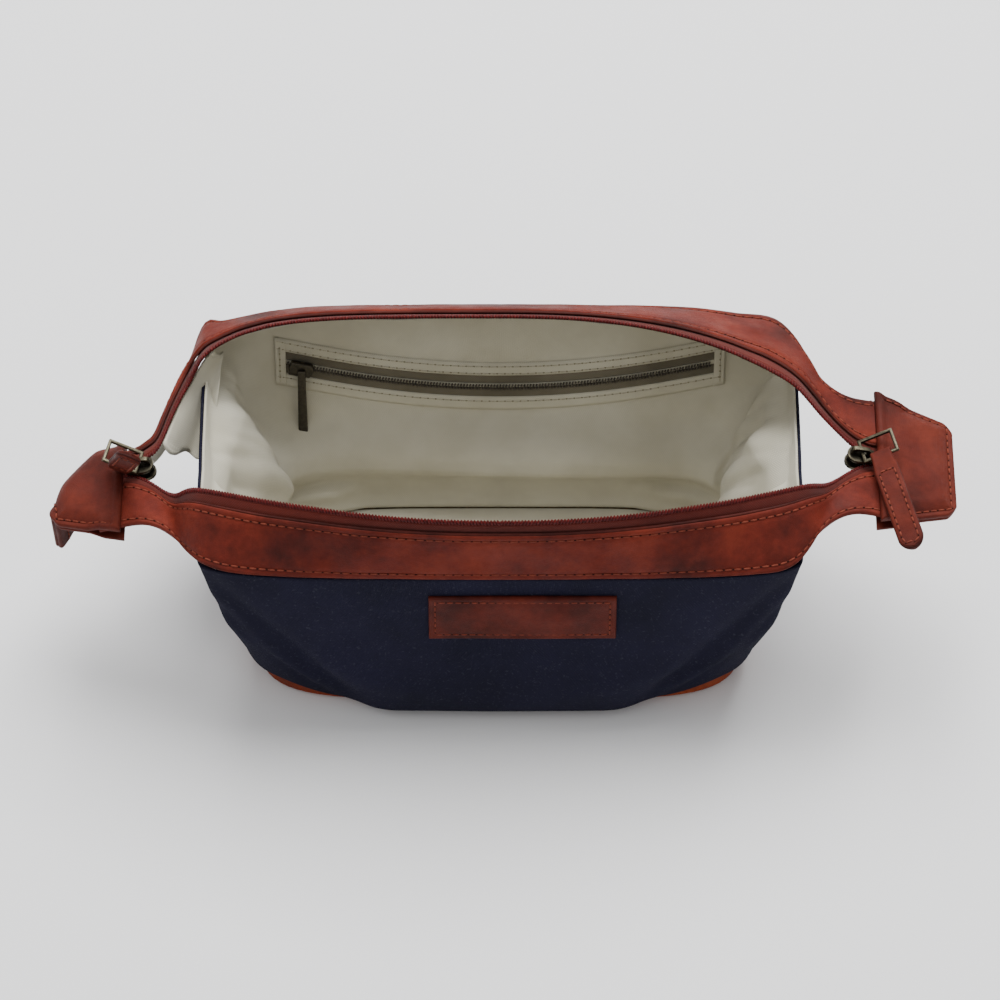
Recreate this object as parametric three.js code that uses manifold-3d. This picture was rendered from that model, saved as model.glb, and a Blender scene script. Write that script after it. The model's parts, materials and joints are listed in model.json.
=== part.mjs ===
// Open-mouthed wash bag: canvas walls on a leather base, a leather band with a two-way zip round the
// mouth, leather tabs at both ends of the zip, and a zipped pocket in the lining of the back wall.
// Millimetres, +X along the zip, the back wall towards +Y, +Z up. The bag stands on z = 0.
import * as THREE from 'three';
import { mergeVertices } from 'three/addons/utils/BufferGeometryUtils.js';
import Module from 'manifold-3d';

const wasm = await Module();
wasm.setup();

// ---------------------------------------------------------------- driving dimensions
const BASE_HALF_LENGTH = 98;
const BODY_HALF_LENGTH = 125; // at the lower edge of the leather band
const BASE_CORNER_POWER = 5; // how square the body is seen from above, at its base
const TOP_CORNER_POWER = 9; // and at the leather band
const GUSSET_TOP = 92;
const SHOULDER_HEIGHT = 95; // lower edge of the band where it leaves the body
const RIM_HEIGHT = 124;
const RIM_REACH = 150; // distance from the middle to where the two zip halves meet
const ROUND_RIM = { reach: RIM_REACH, power: 2.3, fall: 0.81 };
const SQUARE_RIM = { reach: 142, power: 9, fall: 0.8 };
const WALLS = {
  front: { sign: -1, base: 48, band: 55, belly: 5, bandZ: 92.5, rim: 52, cutLow: 50, cutTop: 62 },
  back: { sign: 1, base: 50, band: 75, belly: 2, bandZ: 103, rim: 54, cutLow: 66, cutTop: 96 },
};
const ENDS = {
  left: { sign: -1, tabHeight: 91, pullRise: 62, tabReach: 29.34, droops: true },
  right: { sign: 1, tabHeight: 98, pullRise: 8, tabReach: 32, droops: false },
};
const CUT_GAP = 1; // between a wall that moves and the corners beside it
const SEAM_GAP = 0.4; // between a cloth and the edge of the leather base
const GAP = 0.3;

// Layers, measured outwards from the inner face of the canvas.
const CANVAS = [0, 1.3];
const LEATHER = [0.2, 2.0];
const TAPE = [-1.1, -0.3];
const LINING = [-2.3, -1.4];
const POCKET_CLOTH = [-1.1, -0.5];

const TRAY_LOW = 4; // height of the leather base along the front and back
const TRAY_HIGH = 14; // and where it wraps up under the two ends
const TRAY_FLOOR = 2.2;
const TRAY_WALL = 2;
const BOARD_THICKNESS = 1.8;
const FLOOR_CLOTH = 0.9;

const BAND_SHARE = 0.8; // how far up the rim strip the leather reaches
const TAPE_LOW = 0.6;
const TAPE_HIGH = 0.885;
const WING_TAPE_HIGH = 0.82;
const COIL_SHARE = 0.97;
const COIL_RADIUS = 1.1;
const COIL_DEPTH = -0.7;

const TAB_SLOPE = 0.25; // fall of the tabs towards their tips
const TAB_START = 151;
const STRIP_END = 160;
const TAB_EDGE = 30; // from the zip to the outer edge of a strip where it lies flat
const DROOP_ANGLE = 75; // degrees that the back half of the left end hangs down
const DROOP_RADIUS = 7;
const DROOP_START = 2.5; // from the zip to where the bend starts

const COLOURS = {
  leather: 0x8f4530,
  baseLeather: 0x9a4a2c,
  canvas: 0x24263a,
  lining: 0xb5b0a0,
  tape: 0x7e3a30,
  coil: 0x6d2020,
  brass: 0x4b4a3c,
  bronze: 0x2f2c29,
  pocketTape: 0x6a6455,
  pocketCoil: 0x45413a,
  board: 0x8a7a5c,
};

// ---------------------------------------------------------------- small helpers
const bag = new THREE.Group();
const { lerp, smoothstep, degToRad } = THREE.MathUtils;
const vec = (x, y, z) => new THREE.Vector3(x, y, z);

const METALS = ['brass', 'bronze'];

function addPart(name, geometry, colour, parent = bag) {
  const isMetal = METALS.includes(colour);
  const mesh = new THREE.Mesh(geometry, new THREE.MeshStandardMaterial({
    color: COLOURS[colour],
    roughness: isMetal ? 0.4 : 0.85,
    metalness: isMetal ? 0.9 : 0,
  }));
  mesh.name = name;
  parent.add(mesh);
  return mesh;
}

function geometryOf(points, faces) {
  const geometry = new THREE.BufferGeometry();
  geometry.setAttribute('position', new THREE.Float32BufferAttribute(points.flatMap((p) => p.toArray()), 3));
  const volume = faces.reduce((sum, [a, b, c]) => {
    return sum + points[a].dot(points[b].clone().cross(points[c]));
  }, 0);
  const outward = volume > 0 ? faces : faces.map(([a, b, c]) => [a, c, b]);
  geometry.setIndex(outward.flat());
  return geometry;
}

// The direction in which a surface faces, on the side of the hint.
function normalAt(at, u, v, outwardHint) {
  const step = 1e-3;
  const across = at(Math.min(u + step, 1), v).sub(at(Math.max(u - step, 0), v));
  const up = at(u, Math.min(v + step, 1)).sub(at(u, Math.max(v - step, 0)));
  const normal = across.cross(up).normalize();
  return normal.dot(outwardHint(u, v)) < 0 ? normal.negate() : normal;
}

// A closed sheet with thickness. at(u, v) is a point of the surface, and the sheet fills the space
// between the two layer distances along the surface's outward direction.
function sheet(at, layer, outwardHint, columns, rows) {
  const points = [];
  for (const distance of layer) {
    for (let i = 0; i <= columns; i += 1) {
      for (let j = 0; j <= rows; j += 1) {
        const [u, v] = [i / columns, j / rows];
        points.push(at(u, v).addScaledVector(normalAt(at, u, v, outwardHint), distance));
      }
    }
  }
  const side = (columns + 1) * (rows + 1);
  const id = (k, i, j) => k * side + i * (rows + 1) + j;
  const faces = [];
  const quad = (a, b, c, d) => faces.push([a, b, c], [a, c, d]);
  for (let i = 0; i < columns; i += 1) {
    for (let j = 0; j < rows; j += 1) {
      quad(id(0, i, j), id(0, i, j + 1), id(0, i + 1, j + 1), id(0, i + 1, j));
      quad(id(1, i, j), id(1, i + 1, j), id(1, i + 1, j + 1), id(1, i, j + 1));
    }
  }
  for (let i = 0; i < columns; i += 1) {
    quad(id(0, i, 0), id(0, i + 1, 0), id(1, i + 1, 0), id(1, i, 0));
    quad(id(1, i, rows), id(1, i + 1, rows), id(0, i + 1, rows), id(0, i, rows));
  }
  for (let j = 0; j < rows; j += 1) {
    quad(id(1, 0, j), id(1, 0, j + 1), id(0, 0, j + 1), id(0, 0, j));
    quad(id(0, columns, j), id(0, columns, j + 1), id(1, columns, j + 1), id(1, columns, j));
  }
  return geometryOf(points, faces);
}

// A closed solid through a stack of closed loops with the same number of points.
function loft(loops) {
  const count = loops[0].length;
  const points = loops.flat();
  const faces = [];
  for (let i = 0; i + 1 < loops.length; i += 1) {
    for (let j = 0; j < count; j += 1) {
      const [a, b] = [i * count + j, i * count + (j + 1) % count];
      faces.push([a, b, b + count], [a, b + count, a + count]);
    }
  }
  const last = (loops.length - 1) * count;
  const centreOf = (loop) => loop.reduce((sum, p) => sum.add(p), vec(0, 0, 0)).divideScalar(count);
  points.push(centreOf(loops[0]), centreOf(loops.at(-1)));
  for (let j = 0; j < count; j += 1) {
    const next = (j + 1) % count;
    faces.push([next, j, points.length - 2], [last + j, last + next, points.length - 1]);
  }
  return geometryOf(points, faces);
}

function extrude(shape, depth, curveSegments = 8) {
  return new THREE.ExtrudeGeometry(shape, { depth, bevelEnabled: false, curveSegments });
}

function toSolid(geometry, matrix = new THREE.Matrix4()) {
  const copy = geometry.clone().applyMatrix4(matrix);
  copy.deleteAttribute('normal');
  copy.deleteAttribute('uv');
  const merged = mergeVertices(copy, 1e-4);
  return new wasm.Manifold(new wasm.Mesh({
    numProp: 3,
    vertProperties: new Float32Array(merged.attributes.position.array),
    triVerts: new Uint32Array(merged.index.array),
  }));
}

function fromSolid(solid) {
  const mesh = solid.getMesh();
  const geometry = new THREE.BufferGeometry();
  geometry.setAttribute('position', new THREE.BufferAttribute(mesh.vertProperties, 3));
  geometry.setIndex(new THREE.BufferAttribute(mesh.triVerts, 1));
  return geometry;
}

// ---------------------------------------------------------------- the shape of the body
function halfLength(z) {
  return lerp(BASE_HALF_LENGTH, BODY_HALF_LENGTH, Math.min(z / SHOULDER_HEIGHT, 1) ** 0.8);
}

function cornerPower(z) {
  return lerp(BASE_CORNER_POWER, TOP_CORNER_POWER, smoothstep(z, TRAY_HIGH, SHOULDER_HEIGHT));
}

function halfDepth(wall, z) {
  const share = Math.min(z / wall.bandZ, 1);
  return lerp(wall.base, wall.band, share) + wall.belly * Math.sin(Math.PI * share);
}

// Height of the leather base's edge. towardsEnd is 0 in the middle of a long side and 1 at an end.
function trayHeight(towardsEnd) {
  return lerp(TRAY_LOW, TRAY_HIGH, smoothstep(towardsEnd, 0.32, 0.75));
}

function towardsEndAt(x) {
  return Math.min(Math.abs(x) / BASE_HALF_LENGTH, 1) ** (BASE_CORNER_POWER / 2);
}

function bandLowZ(wall, x) {
  return lerp(wall.bandZ, SHOULDER_HEIGHT, Math.min(Math.abs(x) / BODY_HALF_LENGTH, 1) ** 4);
}

function wallPoint(wall, x, z) {
  const along = Math.min(Math.abs(x) / halfLength(z), 0.999);
  const power = cornerPower(z);
  const y = halfDepth(wall, z) * (1 - along ** power) ** (1 / power);
  return vec(x, wall.sign * y, z);
}

// Point of the body seen from above at an angle: 90 degrees is the middle of a wall, 0 is an end.
function roundPoint(wall, end, angle, z) {
  const power = 2 / cornerPower(z);
  const x = end.sign * halfLength(z) * Math.cos(angle) ** power;
  const y = wall.sign * halfDepth(wall, z) * Math.sin(angle) ** power;
  return vec(x, y, z);
}

function cutAt(wall, z) {
  return lerp(wall.cutLow, wall.cutTop, Math.min(z / wall.bandZ, 1));
}

// ---------------------------------------------------------------- the rim
const droopsAt = (wall, end) => end.droops && wall.sign > 0;

function rimPoint(wall, x, end = x < 0 ? ENDS.left : ENDS.right) {
  const { reach, power, fall } = droopsAt(wall, end) ? SQUARE_RIM : ROUND_RIM;
  const y = wall.rim * (1 - (Math.abs(x) / reach) ** power) ** fall;
  const along = Math.abs(x) / RIM_REACH;
  const meanTab = (ENDS.left.tabHeight + ENDS.right.tabHeight) / 2;
  const drop = RIM_HEIGHT - lerp(meanTab, end.tabHeight, along ** 2);
  return vec(x, wall.sign * y, RIM_HEIGHT - drop * along ** 4);
}

function bandLowPoint(wall, x) {
  return wallPoint(wall, x, bandLowZ(wall, x));
}

function tabPlane(end, x) {
  return end.tabHeight - TAB_SLOPE * (x - RIM_REACH);
}

const mirrored = (end, point) => vec(end.sign * point.x, point.y, point.z);

// The two edges of the strip that runs from the end of a wall to a tab, before any of it droops.
function wingCurves(wall, end) {
  const start = wall.cutTop + CUT_GAP;
  const near = (x, y, lift = 0) => vec(x, wall.sign * y, tabPlane(end, x) + lift);
  const square = droopsAt(wall, end);
  const rim = [
    ...[start, (start + 120) / 2, 120].map((x) => rimPoint(wall, x, end)),
    ...(square ? [near(127, 39, 2), near(133, 25, 0.5), near(138, 10)] : [near(131, 17, 1.5)]),
    near(square ? 142 : 141, square ? 5.5 : 7),
    near(148, 2.2),
    near(154, 1.8),
    near(STRIP_END, 1.8),
  ];
  const frontShoulder = [wallPoint(wall, 100, 93), wallPoint(wall, 116, 94), near(128, 37, -5)];
  const roundShoulder = [wallPoint(wall, 113, 100), near(124, 50, -1), near(130, 37, 0)];
  const squareShoulder = [wallPoint(wall, 113, 99), near(120, 72), near(129, 66), near(136, 46)];
  const backShoulder = square ? squareShoulder : roundShoulder;
  const low = [
    bandLowPoint(wall, start),
    ...(wall.sign < 0 ? frontShoulder : backShoulder),
    near(141, square ? TAB_EDGE + 5 : TAB_EDGE),
    near(STRIP_END, TAB_EDGE),
  ];
  const curve = (points) => new THREE.CatmullRomCurve3(points.map((p) => mirrored(end, p)));
  return { rim: curve(rim), low: curve(low) };
}

// Bends a point of the left end down, by how far it lies behind the fold.
function droop(point, foldY, angle) {
  const beyond = point.y - foldY;
  if (beyond <= 0 || angle <= 0) {
    return point;
  }
  const turned = Math.min(beyond / DROOP_RADIUS, angle);
  const straight = beyond - DROOP_RADIUS * turned;
  const y = foldY + DROOP_RADIUS * Math.sin(turned) + straight * Math.cos(angle);
  const fall = DROOP_RADIUS * (1 - Math.cos(turned)) + straight * Math.sin(angle);
  return vec(point.x, y, point.z - fall);
}

// A point of a strip, the given share of the way from its lower edge to the rim.
function pointAcross(share, low, rim) {
  return low.clone().lerp(rim, share);
}

// ---------------------------------------------------------------- the leather base and the floor
function ringOfBase(grow, heightAt) {
  const loop = [];
  const steps = 64;
  for (let i = 0; i < steps; i += 1) {
    const angle = (2 * Math.PI * i) / steps;
    const [c, s] = [Math.cos(angle), Math.sin(angle)];
    const depth = s < 0 ? WALLS.front.base : WALLS.back.base;
    const round = (value) => Math.sign(value) * Math.abs(value) ** (2 / BASE_CORNER_POWER);
    loop.push(vec((BASE_HALF_LENGTH + grow) * round(c), (depth + grow) * round(s), heightAt(Math.abs(c))));
  }
  return loop;
}

function addBase() {
  const foot = 3;
  addPart('base_leather', loft([
    ringOfBase(TRAY_WALL - foot, () => 0),
    ringOfBase(TRAY_WALL, () => foot),
    ringOfBase(TRAY_WALL, trayHeight),
    ringOfBase(0, trayHeight),
    ringOfBase(0, () => TRAY_FLOOR),
  ]), 'baseLeather');
  const boardLow = TRAY_FLOOR + GAP;
  const boardTop = boardLow + BOARD_THICKNESS;
  const boardInset = 0.8;
  addPart('base_board', loft([
    ringOfBase(-boardInset, () => boardLow),
    ringOfBase(-boardInset, () => boardTop),
  ]), 'board');
  const clothLow = boardTop + GAP;
  const clothInset = 2.6;
  addPart('lining_floor', loft([
    ringOfBase(-clothInset, () => clothLow),
    ringOfBase(-clothInset, () => clothLow + FLOOR_CLOTH),
  ]), 'lining');
}

// ---------------------------------------------------------------- walls that lean in as the bag closes
const LINING_LOW = 3; // the lining starts this far above the edge of the leather base
const LINING_INSET = 1.6;
const LINING_GAP = 2.6; // between a wall that moves and the lining of the corners
const FLAP_COLUMNS = 16;

function flapSurface(wall, low, inset = 0) {
  return (u, v) => {
    const side = (2 * u - 1) * (1 - inset / wall.cutTop);
    const bottom = trayHeight(towardsEndAt(side * wall.cutLow)) + low;
    const z = lerp(bottom, bandLowZ(wall, side * wall.cutTop) - GAP, v);
    return wallPoint(wall, side * cutAt(wall, z), z);
  };
}

function rimSurface(wall, shareLow, shareHigh, inset = 0) {
  return (u, v) => {
    const x = (2 * u - 1) * (wall.cutTop - inset);
    return pointAcross(lerp(shareLow, shareHigh, v), bandLowPoint(wall, x), rimPoint(wall, x));
  };
}

function liningSurface(wall) {
  const body = flapSurface(wall, LINING_LOW, LINING_INSET);
  const rim = rimSurface(wall, 0.04, 0.9, LINING_INSET);
  const split = 0.75;
  return (u, v) => (v < split ? body(u, v / split) : rim(u, (v - split) / (1 - split)));
}

function coilAlong(curve, steps) {
  const section = new THREE.Shape();
  section.absarc(0, 0, COIL_RADIUS, 0, 2 * Math.PI);
  return new THREE.ExtrudeGeometry(section, {
    steps,
    bevelEnabled: false,
    extrudePath: curve,
    curveSegments: 4,
  });
}

// The zip's coil runs along a strip, on its inner side.
function coilOn(strip, outwardHint, stops, steps) {
  const points = Array.from({ length: stops + 1 }, (_, i) => {
    const u = i / stops;
    return strip(u, 0).addScaledVector(normalAt(strip, u, 0, outwardHint), COIL_DEPTH);
  });
  return coilAlong(new THREE.CatmullRomCurve3(points), steps);
}

function addFlap(wallName) {
  const wall = WALLS[wallName];
  const outward = () => vec(0, wall.sign, 0.3);
  const put = (name, at, layer, rows, colour) => {
    addPart(`${wallName}_${name}`, sheet(at, layer, outward, FLAP_COLUMNS, rows), colour);
  };
  put('canvas', flapSurface(wall, SEAM_GAP), CANVAS, 8, 'canvas');
  put('lining', liningSurface(wall), LINING, 12, 'lining');
  put('band', rimSurface(wall, 0.01, BAND_SHARE), LEATHER, 2, 'leather');
  put('zip_tape', rimSurface(wall, TAPE_LOW, TAPE_HIGH), TAPE, 1, 'tape');
  const coil = coilOn(rimSurface(wall, COIL_SHARE, 1, GAP), outward, 8, 16);
  addPart(`${wallName}_zip_coil`, coil, 'coil');
}

// ---------------------------------------------------------------- corners, ends and wings that stay put
const CORNER_ANGLE = Math.PI / 4;
const CORNER_SHARE = 0.25; // of the side lining, for each of its two corners

function cornerSurface(wall, end, low, gap = CUT_GAP) {
  const startAngle = (z) => {
    return Math.acos(((cutAt(wall, z) + gap) / halfLength(z)) ** (cornerPower(z) / 2));
  };
  return (u, v) => {
    const footAngle = lerp(startAngle(TRAY_LOW), CORNER_ANGLE, u);
    const bottom = trayHeight(Math.cos(footAngle)) + low;
    const top = lerp(bandLowZ(wall, wall.cutTop) - GAP, GUSSET_TOP, smoothstep(u, 0, 0.5));
    const z = lerp(bottom, top, v);
    const lastAngle = CORNER_ANGLE + 0.01;
    return roundPoint(wall, end, lerp(startAngle(z), lastAngle, u), z);
  };
}

function gussetPoint(end, side, z) {
  const wall = side < 0 ? WALLS.front : WALLS.back;
  return roundPoint(wall, end, Math.abs(side) * CORNER_ANGLE, z);
}

function gussetSurface(end, low) {
  return (u, v) => {
    const side = 2 * u - 1;
    const bottom = trayHeight(Math.cos(side * CORNER_ANGLE)) + low;
    return gussetPoint(end, side, lerp(bottom, GUSSET_TOP, v));
  };
}

// The lining of an end is one cloth: front corner, end and back corner.
function sideLiningSurface(end) {
  const front = cornerSurface(WALLS.front, end, LINING_LOW, LINING_GAP);
  const gusset = gussetSurface(end, LINING_LOW);
  const back = cornerSurface(WALLS.back, end, LINING_LOW, LINING_GAP);
  return (u, v) => {
    if (u < CORNER_SHARE) {
      return front(u / CORNER_SHARE, v);
    }
    if (u > 1 - CORNER_SHARE) {
      return back((1 - u) / CORNER_SHARE, v);
    }
    return gusset((u - CORNER_SHARE) / (1 - 2 * CORNER_SHARE), v);
  };
}

function addEnd(endName) {
  const end = ENDS[endName];
  const sideways = () => vec(end.sign, 0, 0);
  for (const [wallName, wall] of Object.entries(WALLS)) {
    const outward = () => vec(end.sign, wall.sign, 0);
    const at = cornerSurface(wall, end, SEAM_GAP);
    addPart(`${wallName}_${endName}_corner_canvas`, sheet(at, CANVAS, outward, 8, 8), 'canvas');
  }
  const gusset = sheet(gussetSurface(end, SEAM_GAP), CANVAS, sideways, 16, 8);
  addPart(`${endName}_gusset_canvas`, gusset, 'canvas');
  const outwardOfLining = (u) => vec(end.sign, u < CORNER_SHARE ? -1 : Number(u > 1 - CORNER_SHARE), 0);
  addPart(`${endName}_side_lining`, sheet(sideLiningSurface(end), LINING, outwardOfLining, 24, 8), 'lining');
}

function addWing(wallName, endName) {
  const [wall, end] = [WALLS[wallName], ENDS[endName]];
  const { rim, low } = wingCurves(wall, end);
  const at = (shareLow, shareHigh) => (u, v) => {
    const rimEdge = rim.getPointAt(u);
    const point = pointAcross(lerp(shareLow, shareHigh, v), low.getPointAt(u), rimEdge);
    if (!droopsAt(wall, end)) {
      return point;
    }
    const angle = degToRad(DROOP_ANGLE) * smoothstep(Math.abs(point.x), 118, 132);
    return droop(point, rimEdge.y + DROOP_START, angle);
  };
  // The strip turns from standing on the body to lying flat under the tab.
  const outward = (u) => vec(end.sign * 0.3, wall.sign * (1 - u) * 1.2, 0.3 + u);
  const put = (name, shares, layer, rows, colour) => {
    const solid = sheet(at(...shares), layer, outward, 16, rows);
    addPart(`${wallName}_${endName}_wing_${name}`, solid, colour);
  };
  put('band', [0.01, BAND_SHARE], LEATHER, 8, 'leather');
  put('tape', [TAPE_LOW, WING_TAPE_HIGH], TAPE, 3, 'tape');
  addPart(`${wallName}_${endName}_wing_coil`, coilOn(at(COIL_SHARE, 1), outward, 16, 24), 'coil');
}

// ---------------------------------------------------------------- tabs, stops, sliders, rings and pulls
const TAB_INNER_HALF = 33;
const TAB_OUTER_HALF = 21;
const FOLD_TURN = STRIP_END + 1; // where the fold leaves the zip's line
const TAB_LAYERS = [[2.3, 4.3], [-4.2, -2.2]];
const STOP_LENGTH = 2.5;
const STOP_HEIGHT = 2.4;
const SLIDER_CENTRE = 144.5;
const SLIDER_HALF_LENGTH = 5.5;
const SLIDER_HALF_WIDTH = 4;
const PLATE_LOW = 0.9; // underside of the slider's upper plate
const PLATE_THICKNESS = 1.4;
const THROAT_LOW = -2.1; // top of the slider's lower plate
const WIRE = 1.4;
const RING_LENGTH = 15;
const RING_WIDTH = 11;
const RING_LIFT = 32; // degrees
const RING_TURN = 15; // degrees
const BRIDGE_HOLE_Z = 3.9;
const PULL_LENGTH = 48;
const PULL_WIDTH = 10;
const PULL_THICKNESS = 3;
const PULL_EYE = 1.2;
const PULL_FOLD = 1.2; // leather thickness round the eye

// A group whose X runs outwards along the closed zip, and whose Z stands on the tab's plane.
function tabFrame(end, x) {
  const group = new THREE.Group();
  group.position.copy(mirrored(end, vec(x, 0, tabPlane(end, x))));
  group.rotation.y = end.sign * Math.atan(TAB_SLOPE);
  bag.add(group);
  return group;
}

// The middle of a tab's thickness. The fold of the left tab runs out to the tab's front corner.
function tabSurface(end) {
  const round = 4;
  return (u, v) => {
    const x = TAB_START + end.tabReach * u;
    const rounding = round * (1 - Math.sqrt(1 - smoothstep(u, 1 - round / end.tabReach, 1)));
    const half = lerp(TAB_INNER_HALF, TAB_OUTER_HALF + 1.5, u) - rounding;
    const point = vec(end.sign * x, half * (2 * v - 1), tabPlane(end, x));
    if (!end.droops) {
      return point;
    }
    const foldShare = Math.max(x - FOLD_TURN, 0) / (TAB_START + end.tabReach - FOLD_TURN);
    const foldY = lerp(1.8 + DROOP_START, -TAB_OUTER_HALF, foldShare ** 1.3);
    return droop(point, foldY, degToRad(DROOP_ANGLE));
  };
}

function addTab(endName) {
  const end = ENDS[endName];
  const frame = tabFrame(end, TAB_START);
  ['upper', 'lower'].forEach((side, i) => {
    const upwards = (u, v) => vec(0, end.droops && v > 0.5 ? 1 : 0, 1);
    const leather = sheet(tabSurface(end), TAB_LAYERS[i], upwards, 14, 24);
    addPart(`${endName}_tab_${side}`, leather, 'leather');
  });
  const stopBlock = new THREE.BoxGeometry(STOP_LENGTH, 2 * STOP_LENGTH, STOP_HEIGHT);
  const stop = addPart(`${endName}_zip_stop`, stopBlock, 'brass', frame);
  stop.position.set(end.sign * (STRIP_END - TAB_START + 3), 0, COIL_DEPTH);
}

// The loop on a slider's back that holds the ring, seen from the side.
function bridgeShape() {
  const [back, front, round] = [-4.5, 3.6, 2];
  const foot = PLATE_LOW + PLATE_THICKNESS - 0.2; // sunk a little into the plate
  const top = BRIDGE_HOLE_Z + WIRE + 0.9;
  const shape = new THREE.Shape();
  shape.moveTo(back, foot);
  shape.lineTo(back, top - round);
  shape.quadraticCurveTo(back, top, -round, top);
  shape.lineTo(round, top);
  shape.quadraticCurveTo(front, top, front, foot);
  shape.closePath();
  const eye = new THREE.Path();
  eye.absellipse(-0.4, BRIDGE_HOLE_Z, 2.6, 1.2, 0, 2 * Math.PI);
  shape.holes.push(eye);
  return shape;
}

function sliderGeometry() {
  const plate = new THREE.Shape();
  plate.moveTo(-SLIDER_HALF_LENGTH, 0);
  plate.quadraticCurveTo(-SLIDER_HALF_LENGTH, -SLIDER_HALF_WIDTH, -1, -SLIDER_HALF_WIDTH);
  plate.lineTo(SLIDER_HALF_LENGTH, -SLIDER_HALF_WIDTH + 1);
  plate.lineTo(SLIDER_HALF_LENGTH, SLIDER_HALF_WIDTH - 1);
  plate.lineTo(-1, SLIDER_HALF_WIDTH);
  plate.quadraticCurveTo(-SLIDER_HALF_LENGTH, SLIDER_HALF_WIDTH, -SLIDER_HALF_LENGTH, 0);
  const plateAt = (z) => {
    return toSolid(extrude(plate, PLATE_THICKNESS, 4), new THREE.Matrix4().setPosition(0, 0, z));
  };
  const postHeight = PLATE_LOW - THROAT_LOW + 1;
  const postRadius = 0.6;
  const post = new THREE.CylinderGeometry(postRadius, postRadius, postHeight, 8).rotateX(Math.PI / 2);
  const postX = -SLIDER_HALF_LENGTH + 2 * postRadius;
  const postPlace = new THREE.Matrix4().setPosition(postX, 0, (PLATE_LOW + THROAT_LOW) / 2);
  const bridgeWidth = 1.8;
  const upright = new THREE.Matrix4().makeRotationX(Math.PI / 2).setPosition(0, bridgeWidth / 2, 0);
  return fromSolid(plateAt(PLATE_LOW)
    .add(plateAt(THROAT_LOW - PLATE_THICKNESS))
    .add(toSolid(post, postPlace))
    .add(toSolid(extrude(bridgeShape(), bridgeWidth, 6), upright)));
}

function rectangle(shape, x0, x1, halfWidth) {
  shape.moveTo(x0, -halfWidth);
  shape.lineTo(x1, -halfWidth);
  shape.lineTo(x1, halfWidth);
  shape.lineTo(x0, halfWidth);
  shape.closePath();
  return shape;
}

// A flat wire loop. Its near side goes through the slider's bridge and lies on the origin.
function ringGeometry() {
  const half = WIRE / 2;
  const ring = rectangle(new THREE.Shape(), -half, RING_LENGTH - half, RING_WIDTH / 2);
  ring.holes.push(rectangle(new THREE.Path(), half, RING_LENGTH - 3 * half, RING_WIDTH / 2 - WIRE));
  return extrude(ring, WIRE).translate(0, 0, -half);
}

// A leather strip folded round the ring's side, with a round tip. Its length runs along -Y.
function pullGeometry() {
  const half = PULL_THICKNESS / 2;
  const eyeOuter = PULL_EYE + PULL_FOLD;
  const taper = 7;
  const profile = new THREE.Shape();
  profile.moveTo(PULL_LENGTH, half);
  profile.lineTo(taper, half);
  profile.quadraticCurveTo(3, eyeOuter, 0, eyeOuter);
  profile.absarc(0, 0, eyeOuter, Math.PI / 2, 1.5 * Math.PI);
  profile.quadraticCurveTo(3, -eyeOuter, taper, -half);
  profile.lineTo(PULL_LENGTH, -half);
  profile.closePath();
  const eye = new THREE.Path();
  eye.absarc(0, 0, PULL_EYE, 0, 2 * Math.PI);
  profile.holes.push(eye);
  const folded = extrude(profile, PULL_WIDTH, 8).translate(0, 0, -PULL_WIDTH / 2);
  folded.rotateX(Math.PI / 2).rotateZ(-Math.PI / 2);
  const outline = new THREE.Shape();
  const tip = PULL_WIDTH / 2;
  outline.moveTo(-tip, eyeOuter + 1);
  outline.lineTo(-tip, -PULL_LENGTH + tip);
  outline.absarc(0, -PULL_LENGTH + tip, tip, Math.PI, 2 * Math.PI);
  outline.lineTo(tip, eyeOuter + 1);
  outline.closePath();
  const blank = extrude(outline, 4 * eyeOuter, 8).translate(0, 0, -2 * eyeOuter);
  return fromSolid(toSolid(folded).intersect(toSolid(blank)));
}

function addSlider(endName) {
  const end = ENDS[endName];
  const frame = tabFrame(end, SLIDER_CENTRE);
  const chain = new THREE.Group();
  chain.rotation.z = end.sign < 0 ? Math.PI : 0;
  frame.add(chain);
  addPart(`${endName}_slider`, sliderGeometry(), 'brass', chain);
  const ring = new THREE.Group();
  ring.position.set(0, 0, BRIDGE_HOLE_Z);
  ring.rotation.set(0, -end.sign * degToRad(RING_LIFT), end.sign * degToRad(RING_TURN), 'ZYX');
  frame.add(ring);
  const wire = addPart(`${endName}_ring`, ringGeometry(), 'brass', ring);
  wire.rotation.z = end.sign < 0 ? Math.PI : 0;
  const pull = addPart(`${endName}_pull`, pullGeometry(), 'leather', ring);
  pull.position.set(end.sign * (RING_LENGTH - WIRE) / 2, -(RING_WIDTH - WIRE) / 2, 0);
  pull.rotation.x = -degToRad(end.pullRise);
}

// ---------------------------------------------------------------- patch and pocket
const PATCH_CENTRE = 9; // it is sewn a little to the right of the middle
const PATCH_HALF = 37.5;
const PATCH_LOW = 58;
const PATCH_HIGH = 83;
const PATCH_LAYER = [1.6, 3.2];

function addPatch() {
  const at = (u, v) => {
    const x = PATCH_CENTRE + lerp(-PATCH_HALF, PATCH_HALF, u);
    return wallPoint(WALLS.front, x, lerp(PATCH_LOW, PATCH_HIGH, v));
  };
  addPart('leather_patch', sheet(at, PATCH_LAYER, () => vec(0, -1, 0), 10, 4), 'leather');
}

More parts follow.
